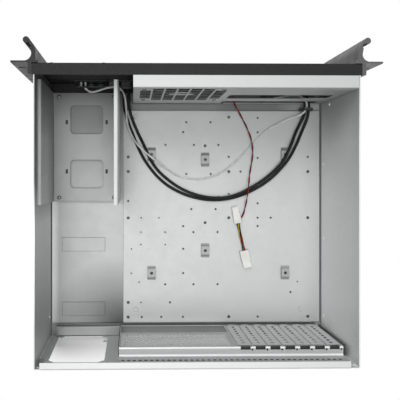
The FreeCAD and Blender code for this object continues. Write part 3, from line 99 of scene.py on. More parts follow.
# Routes of the leads, as in the part's own source
BLACK_ROUTE_A = (
    (0.097, -0.1704, 0.0206), (0.0974, -0.16, 0.0206), (0.0974, -0.146, 0.0185),
    (0.0935, -0.127, 0.0102), (0.084, -0.101, 0.0087), (0.067, -0.06, 0.0087),
    (0.033, -0.02, 0.0087), (-0.018, 0.0018, 0.0087), (-0.072, 0.0015, 0.0087),
    (-0.124, -0.023, 0.0087), (-0.156, -0.056, 0.0126), (-0.1695, -0.08, 0.0126),
    (-0.181, -0.106, 0.0095), (-0.1904, -0.13, 0.0135), (-0.1899, -0.1545, 0.0152),
    (-0.1834, -0.1665, 0.0124), (-0.172, -0.1732, 0.0092), (-0.159, -0.1732, 0.0066),
)
BLACK_ROUTE_B = (
    (0.0898, -0.1704, 0.0206), (0.09, -0.16, 0.0206), (0.09, -0.146, 0.0185),
    (0.086, -0.127, 0.0102), (0.0745, -0.1, 0.009), (0.065, -0.081, 0.013),
    (0.055, -0.057, 0.013), (0.038, -0.0365, 0.0104), (0.007, -0.0136, 0.0126),
    (-0.031, -0.0012, 0.0129), (-0.072, -0.0022, 0.0129), (-0.115, -0.0254, 0.0129),
    (-0.1375, -0.044, 0.0129), (-0.1515, -0.06, 0.014), (-0.1625, -0.083, 0.014),
    (-0.1715, -0.106, 0.0104), (-0.1832, -0.129, 0.0135), (-0.1843, -0.142, 0.0148),
    (-0.1839, -0.1529, 0.0154), (-0.179, -0.1615, 0.013), (-0.1704, -0.1664, 0.01),
    (-0.153, -0.1667, 0.008), (-0.1365, -0.1645, 0.0066),
)
GREY_ROUTE = (
    (0.157, -0.1704, 0.027), (0.1505, -0.1628, 0.03), (0.139, -0.1636, 0.0345),
    (0.122, -0.1695, 0.036), (0.107, -0.171, 0.036), (0.0978, -0.1635, 0.0345),
    (0.0948, -0.151, 0.03), (0.0937, -0.137, 0.024), (0.0932, -0.119, 0.0175),
    (0.0875, -0.102, 0.0164), (0.078, -0.085, 0.0204), (0.065, -0.0725, 0.0208),
    (0.05, -0.0605, 0.0198), (0.034, -0.0495, 0.01), (0.012, -0.034, 0.0077),
    (-0.024, -0.0295, 0.0077), (-0.06, -0.042, 0.0077), (-0.092, -0.073, 0.0077),
    (-0.121, -0.106, 0.0077), (-0.156, -0.124, 0.0135), (-0.1812, -0.131, 0.0198),
    (-0.187, -0.1475, 0.0212), (-0.1785, -0.1595, 0.0205), (-0.163, -0.1615, 0.0175),
    (-0.144, -0.1585, 0.0115), (-0.127, -0.1554, 0.0045),
)
FAN_ROUTE = (
    (-0.044, -0.157, 0.058), (-0.0555, -0.157, 0.0578), (-0.063, -0.157, 0.046),
    (-0.0675, -0.1568, 0.032), (-0.0715, -0.1515, 0.0185), (-0.0805, -0.137, 0.0115),
    (-0.093, -0.116, 0.0082), (-0.1015, -0.092, 0.0132), (-0.1035, -0.071, 0.013),
    (-0.101, -0.05, 0.0086), (-0.0985, -0.038, 0.0102), (-0.096, -0.024, 0.0174),
    (-0.0935, -0.002, 0.0174), (-0.0915, 0.013, 0.0108), (-0.0888, 0.0255, 0.0094),
    (-0.0826, 0.034, 0.01),
)
ADAPTER_ROUTE = (
    (-0.0804, 0.0375, 0.0101), (-0.0824, 0.0465, 0.0093), (-0.0846, 0.058, 0.0088),
    (-0.0874, 0.0695, 0.0095), (-0.0898, 0.0804, 0.0106),
)


# ---- Camera ----
def place_camera():
    """Camera straight above the case, with the front of the case at the top of the frame."""
    lens = bpy.data.cameras.new("overhead_camera")
    lens.sensor_width = 36.0
    lens.lens = 56.4
    lens.shift_x = 0.14
    lens.shift_y = -0.055
    camera = in_scene("overhead_camera", lens)
    camera.location = (85.0 * MM, -32.7 * MM, 985.0 * MM)
    lean = Matrix.Rotation(math.radians(1.1), 4, "Y")
    turn = Matrix.Rotation(math.pi, 4, "Z")
    camera.rotation_euler = (lean @ turn).to_euler()
    bpy.context.scene.camera = camera


# ---- Node trees ----
class NodeMaker:
    """Makes the nodes of one tree, each with its inputs linked or set."""

    def __init__(self, tree):
        self.tree = tree

    def node(self, kind, inputs=(), **settings):
        """Node with its settings made first, then each input linked to a socket or set to a value."""
        made = self.tree.nodes.new(kind)
        for name, value in settings.items():
            setattr(made, name, value)
        for key, value in dict(inputs).items():
            if isinstance(value, bpy.types.NodeSocket):
                self.tree.links.new(value, made.inputs[key])
            else:
                made.inputs[key].default_value = value
        return made

    def maths(self, operation, first, second=0.0):
        return self.node("ShaderNodeMath", {0: first, 1: second}, operation=operation).outputs[0]

    def vector(self, x=0.0, y=0.0, z=0.0):
        return self.node("ShaderNodeCombineXYZ", {"X": x, "Y": y, "Z": z}).outputs[0]

    def part(self, vector, axis):
        """One of a vector's three numbers."""
        return self.node("ShaderNodeSeparateXYZ", {0: vector}).outputs[axis]

    def compare(self, operation, first, second):
        """Number worked out from two vectors, such as their distance."""
        return self.node("ShaderNodeVectorMath", {0: first, 1: second}, operation=operation).outputs["Value"]

    def distance(self, first, second):
        return self.compare("DISTANCE", first, second)


# ---- Finishes ----
class Finish(NodeMaker):
    """One material, with its nodes worked out from object coordinates."""

    def __init__(self, name, metallic=0.0, roughness=0.5):
        self.material = bpy.data.materials.new(name)
        self.material.use_nodes = True
        super().__init__(self.material.node_tree)
        self.shader = self.tree.nodes["Principled BSDF"]
        self.shader.inputs["Metallic"].default_value = metallic
        self.shader.inputs["Roughness"].default_value = roughness
        self.where = self.node("ShaderNodeTexCoord").outputs["Object"]

    def at(self, axis):
        """Place along an axis."""
        return self.part(self.where, axis)

    def stretched(self, scale):
        """Object coordinates stretched along an axis, for drawn or brushed grain."""
        return self.node("ShaderNodeMapping", {"Vector": self.where, "Scale": scale}).outputs["Vector"]

    def noise(self, scale, detail=3.0, where=None):
        inputs = {"Vector": where or self.where, "Scale": scale, "Detail": detail}
        return self.node("ShaderNodeTexNoise", inputs).outputs["Fac"]

    def spangle(self, scale):
        """Flat crystals of zinc, each with a number of its own."""
        cells = self.node("ShaderNodeTexVoronoi", {"Vector": self.where, "Scale": scale})
        return self.node("ShaderNodeSeparateColor", {"Color": cells.outputs["Color"]}).outputs["Red"]

    def spread(self, value, low, high, start=0.3, end=0.7):
        """Value mapped from start and end to low and high, and held there."""
        inputs = {"Value": value, "From Min": start, "From Max": end, "To Min": low, "To Max": high}
        return self.node("ShaderNodeMapRange", inputs).outputs["Result"]

    def patches(self, scale, detail, low=0.0, high=1.0):
        """Cloudy patches that go from one value to another."""
        return self.spread(self.noise(scale, detail), low, high)

    def blend(self, share, first, second):
        """Colour that goes from the first to the second as the share goes from 0 to 1."""
        return self.node("ShaderNodeMix", {0: share, 6: first, 7: second}, data_type="RGBA").outputs[2]

    def edges(self, radius):
        """1 along sharp edges and 0 on open faces."""
        soft = self.node("ShaderNodeBevel", {"Radius": radius}, samples=4).outputs["Normal"]
        flat = self.node("ShaderNodeNewGeometry").outputs["Normal"]
        return self.spread(self.compare("DOT_PRODUCT", soft, flat), 1.0, 0.0, 0.75, 0.98)

    def bump(self, height, strength, distance):
        made = self.node("ShaderNodeBump", {"Height": height, "Strength": strength, "Distance": distance})
        self.tree.links.new(made.outputs["Normal"], self.shader.inputs["Normal"])

    def colour(self, value):
        self.tree.links.new(value, self.shader.inputs["Base Color"])

    def roughness(self, value):
        self.tree.links.new(value, self.shader.inputs["Roughness"])


def grey(level, tint=(1.0, 1.0, 1.0)):
    """Grey of one level, plain or a little tinted."""
    return (level * tint[0], level * tint[1], level * tint[2], 1.0)


def shade(colour, times, plus=0.0):
    """Darker or paler version of a colour."""
    return tuple(min(1.0, part * times + plus) for part in colour[:3]) + (1.0,)


def galvanised_sheet(name, level, *painted_tones):
    """Zinc-coated steel: faint spangle and smears, dark cut edges.

    Each tone is painted light or shade: a place and its share of the sheet's level, and a later tone covers
    an earlier one.
    """
    cool = (0.985, 1.0, 1.0)
    palest = 0.95
    made = Finish(name, metallic=0.35)
    crystals = made.spread(made.spangle(150.0), 0.0, 1.0, 0.0, 1.0)
    body = made.blend(crystals, grey(level * 0.98, cool), grey(level * 1.015, cool))
    body = made.blend(made.patches(22.0, 5.0, 0.0, 0.3), body, grey(level * 0.96, cool))
    body = made.blend(made.edges(0.35 * MM), body, grey(level * 0.3, cool))
    # painted light and shade, each over its own place
    for place, strength in painted_tones:
        body = made.blend(place(made), body, grey(min(level * strength, palest), cool))
    made.colour(body)
    made.roughness(made.patches(60.0, 4.0, 0.47, 0.51))
    made.bump(made.noise(900.0, 2.0), 0.1, 0.12 * MM)
    return made.material


def powder_coat(name, level):
    """Black powder coat: fine orange peel, paler rubbed corners."""
    made = Finish(name)
    body = made.blend(made.patches(25.0, 4.0), grey(level), grey(level * 1.35))
    made.colour(made.blend(made.edges(0.6 * MM), body, grey(level * 3.0)))
    made.roughness(made.patches(300.0, 3.0, 0.5, 0.65))
    made.shader.inputs["Specular IOR Level"].default_value = 0.24
    made.bump(made.noise(1400.0, 2.0), 0.35, 0.12 * MM)
    return made.material


def drawn_aluminium(name, level, rubbed):
    """Dark anodised extrusion: fine lines along its length, rubbed edges."""
    made = Finish(name, metallic=0.55)
    lines = made.noise(1.0, 3.0, made.stretched((1500.0, 1500.0, 14.0)))
    body = made.blend(made.spread(lines, 0.0, 1.0), grey(level * 0.85), grey(level * 1.2))
    made.colour(made.blend(made.edges(0.5 * MM), body, grey(level * rubbed)))
    made.roughness(made.patches(60.0, 4.0, 0.42, 0.56))
    made.bump(lines, 0.15, 0.1 * MM)
    return made.material


def moulded_plastic(name, colour, rough=0.5):
    """Moulded plastic: fine spark texture, small change of shade, softened edges."""
    made = Finish(name)
    body = made.blend(made.patches(60.0, 3.0), shade(colour, 0.85), colour)
    made.colour(made.blend(made.edges(0.3 * MM), body, shade(colour, 1.25, 0.01)))
    made.roughness(made.patches(120.0, 3.0, rough - 0.07, rough + 0.08))
    made.bump(made.noise(900.0, 2.0), 0.2, 0.08 * MM)
    return made.material


def wire_sleeve(name, colour):
    """Extruded sleeve of a wire: smooth, slightly scuffed."""
    made = Finish(name)
    made.colour(made.blend(made.patches(90.0, 4.0), shade(colour, 0.75), colour))
    made.roughness(made.patches(160.0, 3.0, 0.4, 0.55))
    made.shader.inputs["Specular IOR Level"].default_value = 0.22
    made.bump(made.noise(700.0, 2.0), 0.12, 0.08 * MM)
    return made.material


def plated_steel(name, level):
    """Plated screws and socket shells: bright, with small tarnish."""
    warm = (1.0, 1.0, 0.97)
    made = Finish(name, metallic=0.85)
    body = made.blend(made.patches(220.0, 4.0), grey(level * 0.8, warm), grey(level, warm))
    made.colour(made.blend(made.edges(0.15 * MM), body, grey(min(level * 1.3, 0.9), warm)))
    made.roughness(made.patches(300.0, 3.0, 0.22, 0.4))
    made.bump(made.noise(1200.0, 2.0), 0.1, 0.05 * MM)
    return made.material


def fan_plastic(name, low, high):
    """Black fan housing, with a bare pale disc on the motor cup's rear face."""
    disc_radius = 17.0 * MM
    middle = (low + high) / 2
    made = Finish(name)
    from_axis = made.distance(made.vector(x=made.at("X"), z=made.at("Z")), (middle.x, 0.0, middle.z))
    disc = made.spread(from_axis, 1.0, 0.0, disc_radius - 0.2 * MM, disc_radius + 0.2 * MM)
    rear_face = made.spread(made.at("Y"), 0.0, 1.0, high.y - 0.3 * MM, high.y - 0.1 * MM)
    black = made.blend(made.patches(60.0, 3.0), grey(0.018), grey(0.03))
    pale = made.blend(made.patches(400.0, 3.0), grey(0.86), grey(0.92))
    made.colour(made.blend(made.maths("MULTIPLY", disc, rear_face), black, pale))
    made.roughness(made.patches(120.0, 3.0, 0.38, 0.55))
    made.bump(made.noise(900.0, 2.0), 0.2, 0.08 * MM)
    return made.material


def circuit_board(name):
    """Dark solder mask with faint tracks."""
    made = Finish(name)
    tracks = made.noise(1.0, 1.0, made.stretched((900.0, 300.0, 900.0)))
    share = made.spread(tracks, 0.0, 1.0, 0.48, 0.52)
    made.colour(made.blend(share, grey(0.012), (0.012, 0.03, 0.018, 1.0)))
    made.roughness(made.patches(200.0, 3.0, 0.28, 0.42))
    made.bump(tracks, 0.25, 0.05 * MM)
    return made.material


# ---- Places of painted light and shade on the sheet: each gives 1 where the tone is full, 0 where there is none ----
def along(axis, full, none):
    """1 where the place along an axis has reached the first value, 0 where it has reached the second."""
    def place(made):
        if full < none:
            return made.spread(made.at(axis), 1.0, 0.0, full, none)
        return made.spread(made.at(axis), 0.0, 1.0, none, full)
    return place


def from_end(axis, end, full, none):
    """1 up to the first distance from an end of the case, 0 past the second."""
    inward = -1 if end > 0 else 1
    return along(axis, end + inward * full, end + inward * none)


def both(first, second):
    """1 where two places overlap."""
    def place(made):
        return made.maths("MULTIPLY", first(made), second(made))
    return place


def any_of(first, *others):
    """1 in any of several places."""
    def place(made):
        total = first(made)
        for other in others:
            total = made.maths("MAXIMUM", total, other(made))
        return total
    return place


def near(spot, full, none):
    """1 up to one distance from a spot, 0 past another."""
    def place(made):
        return made.spread(made.distance(made.where, spot), 1.0, 0.0, full, none)
    return place


def fold(y, z, radius):
    """1 along a fold that runs across the case."""
    def place(made):
        from_fold = made.distance(made.vector(y=made.at("Y"), z=made.at("Z")), (0.0, y, z))
        return made.spread(from_fold, 1.0, 0.0, radius * 0.6, radius)
    return place


def rims(radius):
    """1 along sharp edges, as a wider outline than the sheet's own."""
    def place(made):
        return made.edges(radius)
    return place


def between(low, high):
    """1 between two heights."""
    def place(made):
        inputs = {0: made.at("Z"), 1: (low + high) / 2, 2: (high - low) / 2}
        return made.node("ShaderNodeMath", inputs, operation="COMPARE").outputs[0]
    return place


def face_up(made):
    """1 on faces that look up."""
    normal = made.node("ShaderNodeNewGeometry").outputs["True Normal"]
    return made.spread(made.part(normal, "Z"), 0.0, 1.0, 0.3, 0.7)


def inside_walls(made):
    """1 on the inner faces of the side walls and between them, 0 on their outer faces."""
    inner_face = LEFT - SHEET
    off = made.maths("ABSOLUTE", made.at("X"))
    return made.spread(off, 1.0, 0.0, inner_face + 0.1 * MM, inner_face + 0.5 * MM)


# Places of painted shade that several pieces share: the floor with the feet of the walls, the case's top
# rim, all that is lower than the ledge, and the punched edges of the slots, whose up-facing cut faces stand
# in for the shade in the holes
FOOT_SHADE = along("Z", 2.5 * MM, 14.0 * MM)
TOP_RIM_SHADE = from_end("Z", TOP, 1.0 * MM, 3.0 * MM)
SHADE_BELOW_LEDGE = along("Z", LEDGE - 5.0 * MM, LEDGE - 2.0 * MM)
SLOT_EDGE_SHADE = both(face_up, between(SLOT_BOTTOM, LEDGE - 2.0 * MM))


# ---- Sheet metal, each piece with its own painted light and shade ----
def step_sheet():
    """Stepped rear wall: painted shade on its foot and punched edges, painted highlights on the folds at the
    ledge's front and rear.
    """
    vent_edge_shade = both(face_up, between(LEDGE + 4.0 * MM, WALL_HIGH.z - 3.0 * MM))
    front_fold_highlight = fold(WALL_LOW.y, LEDGE, 2.6 * MM)
    rear_fold_highlight = fold(WALL_LOW.y + LEDGE_DEPTH, LEDGE, 3.0 * MM)
    return galvanised_sheet("step_sheet", 0.56, (FOOT_SHADE, 0.32), (SLOT_EDGE_SHADE, 0.1), (vent_edge_shade, 0.1),
                            (front_fold_highlight, 1.7), (rear_fold_highlight, 1.7))


def cover_sheet():
    """Slot covers: painted shade as broad dark outlines along their edges and round their vents."""
    outline_shade = both(rims(1.2 * MM), SHADE_BELOW_LEDGE)
    return galvanised_sheet("cover_sheet", 0.74, (outline_shade, 0.15), (SLOT_EDGE_SHADE, 0.05))


def rear_sheet():
    """Rear frame: painted shadow below the ledge, ahead of its outer panel, and painted shade on its top
    rim.
    """
    ahead = along("Y", PAN_HIGH.y - 3.0 * MM, PAN_HIGH.y - 1.5 * MM)
    return galvanised_sheet("rear_sheet", 0.76, (both(SHADE_BELOW_LEDGE, ahead), 0.08), (TOP_RIM_SHADE, 0.92))


def bracket_sheet():
    """Fan bracket: painted shade on its foot, its punched edges, its end by the right side wall and its top
    rim.
    """
    opening_edge_shade = both(face_up, between(10.0 * MM, TOP - 7.0 * MM))
    right_end_shade = both(from_end("X", RIGHT, 7.0 * MM, 72.0 * MM), along("Z", TOP - 27.0 * MM, TOP - 5.0 * MM))
    return galvanised_sheet("bracket_sheet", 0.7, (FOOT_SHADE, 0.25), (opening_edge_shade, 0.1), (right_end_shade, 0.6),
                            (TOP_RIM_SHADE, 0.84))


def tray_sheet():
    """Board tray: painted shade, a little darker to the front and the rear, and dark on its hole rims and
    raised bridges.
    """
    rear_shade = from_end("Y", REAR, 25.0 * MM, 125.0 * MM)
    front_shade = from_end("Y", FRONT, 75.0 * MM, 195.0 * MM)
    hole_shade = both(rims(0.7 * MM), along("Z", TRAY_FLAT + 0.3 * MM, TRAY_FLAT + 0.6 * MM))
    bridge_shade = along("Z", TRAY_FLAT + 2.0 * MM, TRAY_FLAT + 0.9 * MM)
    return galvanised_sheet("tray_sheet", 0.53, (rear_shade, 0.9), (front_shade, 0.88), (hole_shade, 0.4),
                            (bridge_shade, 0.66))


def pan_sheet():
    """Base pan: painted shade on its floor, in patches on the inner faces of its walls and along their feet,
    plain outside.
    """
    left = both(inside_walls, from_end("X", LEFT, 6.0 * MM, 12.0 * MM))
    right = both(inside_walls, from_end("X", RIGHT, 6.0 * MM, 12.0 * MM))
    left_rear_shade = both(left, from_end("Y", REAR, 55.0 * MM, 175.0 * MM))
    left_front_shade = both(left, from_end("Y", FRONT, 185.0 * MM, 245.0 * MM))
    right_front_shade = both(right, from_end("Y", FRONT, 50.0 * MM, 135.0 * MM))
    return galvanised_sheet("pan_sheet", 0.9, (left_rear_shade, 0.55), (left_front_shade, 0.2), (right_front_shade, 0.55),
                            (both(FOOT_SHADE, inside_walls), 0.16), (both(left, FOOT_SHADE), 0.42),
                            (both(right, FOOT_SHADE), 0.5))


def bay_floor_sheet():
    """Bay floor: painted light by the side wall, painted shade at its front and under the cage's slots, a
    painted dark reflection in a rear corner.
    """
    low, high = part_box("bay_floor")
    slot_xs = (CAGE_HIGH.x - 86.7 * MM, CAGE_HIGH.x - 24.9 * MM)
    slot_ys = (CAGE_LOW.y + 45.2 * MM, CAGE_LOW.y + 121.8 * MM)
    painted_light_by_wall = from_end("X", LEFT, 3.0 * MM, 14.0 * MM)
    front_shade = from_end("Y", FRONT, 65.0 * MM, 225.0 * MM)
    # painted dark reflection, darkening toward the floor's rear inner corner
    corner = near((low.x + 1.4 * MM, high.y + 1.0 * MM, BAY_FLAT), 5.0 * MM, 110.0 * MM)
    shade_under_slots = [near((x, y, BAY_FLAT), 4.0 * MM, 5.0 * MM) for x in slot_xs for y in slot_ys]
    return galvanised_sheet("bay_floor_sheet", 0.45, (painted_light_by_wall, 2.0), (front_shade, 0.42), (corner, 0.15),
                            (any_of(*shade_under_slots), 0.1))


def cage_sheet():
    """Drive cage: painted shade low down, on its flanges, at its front and as dark rims round its windows.
    """
    low_shade = along("Z", CAGE_LOW.z + 7.0 * MM, CAGE_LOW.z + 85.0 * MM)
    flange_shade = along("Z", CAGE_HIGH.z - 0.5 * MM, CAGE_HIGH.z - 1.5 * MM)
    window_rim_shade = both(rims(1.6 * MM), along("Z", CAGE_LOW.z + 8.0 * MM, CAGE_LOW.z + 10.0 * MM))
    front_foot_shade = both(along("Z", CAGE_LOW.z + 9.0 * MM, CAGE_LOW.z + 35.0 * MM),
                      from_end("Y", FRONT, 50.0 * MM, 95.0 * MM))
    outer_front_shade = both(from_end("X", LEFT, 6.0 * MM, 8.0 * MM), from_end("Y", FRONT, 65.0 * MM, 130.0 * MM))
    return galvanised_sheet("cage_sheet", 0.78, (low_shade, 0.46), (flange_shade, 0.73), (window_rim_shade, 0.1),
                            (front_foot_shade, 0.2), (outer_front_shade, 0.5))


# ---- Small makers ----
JOIN_WITHIN = 0.002 * MM          # corners of loose triangles as near as this are one corner


def in_scene(name, data):
    """New object in the scene."""
    piece = bpy.data.objects.new(name, data)
    bpy.context.scene.collection.objects.link(piece)
    return piece


def evaluated_mesh(piece):
    """Plain mesh of a piece as its modifiers leave it, or of a curve. The piece itself goes."""
    graph = bpy.context.evaluated_depsgraph_get()
    mesh = bpy.data.meshes.new_from_object(piece.evaluated_get(graph))
    bpy.data.objects.remove(piece)
    return mesh


def baked(piece, name):
    """New piece from the evaluated mesh of another."""
    made = in_scene(name, evaluated_mesh(piece))
    made.data.name = name
    return made


def pour(work, mesh):
    """Puts a working mesh into a kept one."""
    work.to_mesh(mesh)
    work.free()
    return mesh


def joined_up(node):
    """Working mesh of a CAD node, with its loose triangles joined."""
    work = bmesh.new()
    work.from_mesh(NODES[node].data)
    bmesh.ops.remove_doubles(work, verts=work.verts, dist=JOIN_WITHIN)
    return work


def islands(node):
    """Lowest and highest corner of each separate solid in a CAD node."""
    work = joined_up(node)
    reached = set()
    found = []
    for start in work.verts:
        if start in reached:
            continue
        reached.add(start)
        group = [start]
        for vert in group:      # the group grows as neighbours are reached
            for edge in vert.link_edges:
                other = edge.other_vert(vert)
                if other not in reached:
                    reached.add(other)
                    group.append(other)
        low = Vector([min(vert.co[i] for vert in group) for i in range(3)])
        high = Vector([max(vert.co[i] for vert in group) for i in range(3)])
        found.append((low, high))
    work.free()
    return found


def dress(finish, *nodes):
    """Gives CAD nodes a finish."""
    for node in nodes:
        finishes = NODES[node].data.materials
        finishes.clear()
        finishes.append(finish)


# ---- Leads ----
def route_curve(name, points, diameter):
    """Smooth round lead whose control points are the route's own."""
    curve = bpy.data.curves.new(name, "CURVE")
    curve.dimensions = "3D"
    curve.resolution_u = 10
    spline = curve.splines.new("NURBS")
    spline.points.add(len(points) - 1)
    for spot, point in zip(spline.points, points):
        spot.co = (*point, 1.0)
    spline.order_u = 3
    spline.use_endpoint_u = True
    curve.bevel_depth = diameter / 2
    curve.bevel_resolution = 5
    curve.use_fill_caps = True
    return in_scene(name, curve)


def centreline(points):
    """Points along the route's smooth line, evenly spaced."""
    line = [vert.co.copy() for vert in evaluated_mesh(route_curve("guide", points, 0.0)).vertices]
    even = [line[0]]
    carried = 0.0
    for here, there in zip(line, line[1:]):
        run = (there - here).length
        reached = LINE_STEP - carried
        while reached <= run:
            even.append(here.lerp(there, reached / run))
            reached += LINE_STEP
        carried = run - (reached - LINE_STEP)
    if (even[-1] - line[-1]).length > LINE_STEP / 3:
        even.append(line[-1])
    else:
        even[-1] = line[-1]
    return even


def frames_along(line):
    """Each point of a line with its direction, a side that doesn't twist, and the run up to it."""
    tangent = (line[1] - line[0]).normalized()
    across = tangent.cross(Vector((0.0, 0.0, 1.0)))
    if across.length < 0.1:
        across = tangent.orthogonal()
    across.normalize()
    frames = []
    travelled = 0.0
    for index, point in enumerate(line):
        ahead = line[min(index + 1, len(line) - 1)] - line[max(index - 1, 0)]
        ahead.normalize()
        across = (tangent.rotation_difference(ahead) @ across).normalized()
        tangent = ahead
        if index:
            travelled += (point - line[index - 1]).length
        frames.append((point, tangent, across, travelled))
    return frames


def add_wire(work, centres, radius, slot):
    """Adds one closed round wire to a working mesh, through centres with their directions and sides."""
    angles = [2 * math.pi * corner / WIRE_SIDES for corner in range(WIRE_SIDES)]
    rings = []
    for centre, forward, side in centres:
        spokes = [Quaternion(forward, angle) @ side for angle in angles]
        rings.append([work.verts.new(centre + spoke * radius) for spoke in spokes])
    for here, there in zip(rings, rings[1:]):
        for corner in range(WIRE_SIDES):
            following = (corner + 1) % WIRE_SIDES
            face = work.faces.new((here[corner], here[following], there[following], there[corner]))
            face.material_index = slot
            face.smooth = True
    for ring in (rings[0][::-1], rings[-1]):
        work.faces.new(ring).material_index = slot


def bundle(name, line, wires, off_line, wire_radius, pitch):
    """Wires twisted round one line: one mesh, with a finish for each wire."""
    frames = frames_along(line)
    mesh = bpy.data.meshes.new(name)
    for finish in wires:
        if finish.name not in mesh.materials:
            mesh.materials.append(finish)
    work = bmesh.new()
    for number, finish in enumerate(wires):
        phase = 2 * math.pi * number / len(wires)
        centres = []
        for point, forward, side, run in frames:
            out = Quaternion(forward, phase + 2 * math.pi * run / pitch) @ side
            centres.append((point + out * off_line, forward, out))
        add_wire(work, centres, wire_radius, mesh.materials.find(finish.name))
    bmesh.ops.recalc_face_normals(work, faces=work.faces)
    return in_scene(name, pour(work, mesh))


def lay_lead(name, node, points, diameter, slot, wires, pieces, **twist):
    """Lays one lead: a round sheath, or a bundle of several wires."""
    line = centreline(points)
    if len(wires) > 1:
        lead = bundle(name, line, wires, **twist)
    else:
        lead = route_curve(name, points, diameter)
        lead.data.materials.append(wires[0])
    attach(lead, "chassis")
    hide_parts(node)


def lay_leads():
    """The two black leads, the grey pair, the fan's pair and the adapter's four wires."""
    black = wire_sleeve("black_sleeve", (0.01, 0.01, 0.011, 1.0))
    silver = wire_sleeve("grey_sleeve", (0.97, 0.97, 0.95, 1.0))
    red = wire_sleeve("red_sleeve", (0.42, 0.03, 0.02, 1.0))
    yellow = wire_sleeve("yellow_sleeve", (0.55, 0.4, 0.05, 1.0))
    lay_lead("black_lead_outer", "black_lead_a", BLACK_ROUTE_A, BLACK_LEAD, "black_sleeve",
             [black], ["plug_a"])
    lay_lead("black_lead_inner", "black_lead_b", BLACK_ROUTE_B, BLACK_LEAD, "black_sleeve",
             [black], ["plug_b"])
    lay_lead("grey_pair", "grey_lead", GREY_ROUTE, GREY_PAIR, "grey_sleeve",
             [silver, silver], ["grey_plug", "cable_tie"],
             off_line=0.7 * MM, wire_radius=0.7 * MM, pitch=4000.0 * MM)
    lay_lead("fan_pair", "fan_lead", FAN_ROUTE, FAN_PAIR, "red_sleeve",
             [red, black], ["fan_plug"],
             off_line=0.65 * MM, wire_radius=0.65 * MM, pitch=36.0 * MM)
    lay_lead("adapter_wires", "adapter_lead", ADAPTER_ROUTE, ADAPTER_WIRES, "yellow_sleeve",
             [black, red, black, yellow], ["power_plug"],
             off_line=1.6 * MM, wire_radius=0.85 * MM, pitch=90.0 * MM)


# ---- Geometry Nodes ----
class ShapeTree(NodeMaker):
    """A Geometry Nodes group with named inputs, run once on a piece and then baked."""

    def __init__(self, name):
        super().__init__(bpy.data.node_groups.new(name, "GeometryNodeTree"))
        for way in ("INPUT", "OUTPUT"):
            self.tree.interface.new_socket("Geometry", in_out=way, socket_type="NodeSocketGeometry")
        self.start = self.tree.nodes.new("NodeGroupInput")
        self.end = self.tree.nodes.new("NodeGroupOutput")
        self.keys = {}

    def add_input(self, name, kind="NodeSocketFloat"):
        """New named input, ready to link from."""
        socket = self.tree.interface.new_socket(name, in_out="INPUT", socket_type=kind)
        self.keys[name] = socket.identifier
        return self.start.outputs[name]

    def shape(self, kind, inputs):
        """Simple mesh: a box, ball, round bar or grid."""
        return self.node(kind, inputs).outputs["Mesh"]

    def moved(self, shape, **how):
        """Shape moved, turned or scaled."""
        return self.node("GeometryNodeTransform", {"Geometry": shape, **how}).outputs["Geometry"]

    def carved(self, shape, *tools):
        """Shape with the tools cut out of it."""
        cut = self.node("GeometryNodeMeshBoolean", {"Mesh 1": shape}, operation="DIFFERENCE",
                        solver="EXACT")
        for tool in tools:
            self.tree.links.new(tool, cut.inputs["Mesh 2"])
        return cut.outputs["Mesh"]

    def joined(self, *shapes):
        """Several shapes as one."""
        join = self.node("GeometryNodeJoinGeometry")
        for shape in shapes:
            self.tree.links.new(shape, join.inputs["Geometry"])
        return join.outputs["Geometry"]

    def on_points(self, points, shape, **how):
        """Shape repeated on each point."""
        inputs = {"Points": points, "Instance": shape, **how}
        return self.node("GeometryNodeInstanceOnPoints", inputs).outputs["Instances"]

    def real(self, shape):
        """Shape with its instances made into plain mesh."""
        return self.node("GeometryNodeRealizeInstances", {"Geometry": shape}).outputs["Geometry"]

    def finish(self, shape, material):
        """Ends the tree in a plain mesh with one finish."""
        dressed = self.node("GeometryNodeSetMaterial", {"Geometry": self.real(shape), "Material": material})
        self.tree.links.new(dressed.outputs["Geometry"], self.end.inputs["Geometry"])

    def run(self, piece, name, **values):
        """Plain new piece, made by the tree from another with these input values."""
        modifier = piece.modifiers.new("maker", "NODES")
        modifier.node_group = self.tree
        for key, value in values.items():
            modifier[self.keys[key]] = value
        return baked(piece, name)


def screw_tree():
    """Pan-head screw with a cross recess, one on each point."""
    tree = ShapeTree("cross_recess_screws")
    head = tree.add_input("head_radius")
    height = tree.add_input("head_height")
    recess = tree.add_input("recess_width")
    shank = tree.add_input("shank_radius")
    length = tree.add_input("shank_length")
    material = tree.add_input("material", "NodeSocketMaterial")

    ball = tree.shape("GeometryNodeMeshUVSphere", {"Segments": 28, "Rings": 16, "Radius": 1.0})
    domed = tree.moved(ball, Scale=tree.vector(head, head, height))
    wide = tree.maths("MULTIPLY", head, 3.0)
    tall = tree.maths("MULTIPLY", height, 2.0)
    block = tree.shape("GeometryNodeMeshCube", {"Size": tree.vector(wide, wide, tall)})
    lower_half = tree.moved(block, Translation=tree.vector(z=tree.maths("MULTIPLY", height, -1.0)))
    recess_length = tree.maths("MULTIPLY", head, 1.15)
    recess_place = tree.vector(z=tree.maths("MULTIPLY", height, 0.95))
    cutters = [lower_half]
    for x, y in ((recess_length, recess), (recess, recess_length)):
        bar = tree.shape("GeometryNodeMeshCube", {"Size": tree.vector(x, y, height)})
        cutters.append(tree.moved(bar, Translation=recess_place))

    bar = tree.shape("GeometryNodeMeshCylinder", {"Vertices": 16, "Radius": shank, "Depth": length})
    stem = tree.moved(bar, Translation=tree.vector(z=tree.maths("MULTIPLY", length, -0.5)))
    screw = tree.joined(tree.carved(domed, *cutters), stem)
    facing = tree.node("GeometryNodeInputNamedAttribute", {"Name": "facing"}, data_type="FLOAT_VECTOR")
    turn = tree.node("FunctionNodeAlignRotationToVector", {"Vector": facing.outputs["Attribute"]}, axis="Z")
    placed = tree.on_points(tree.start.outputs["Geometry"], screw, Rotation=turn.outputs["Rotation"])
    tree.finish(placed, material)
    return tree


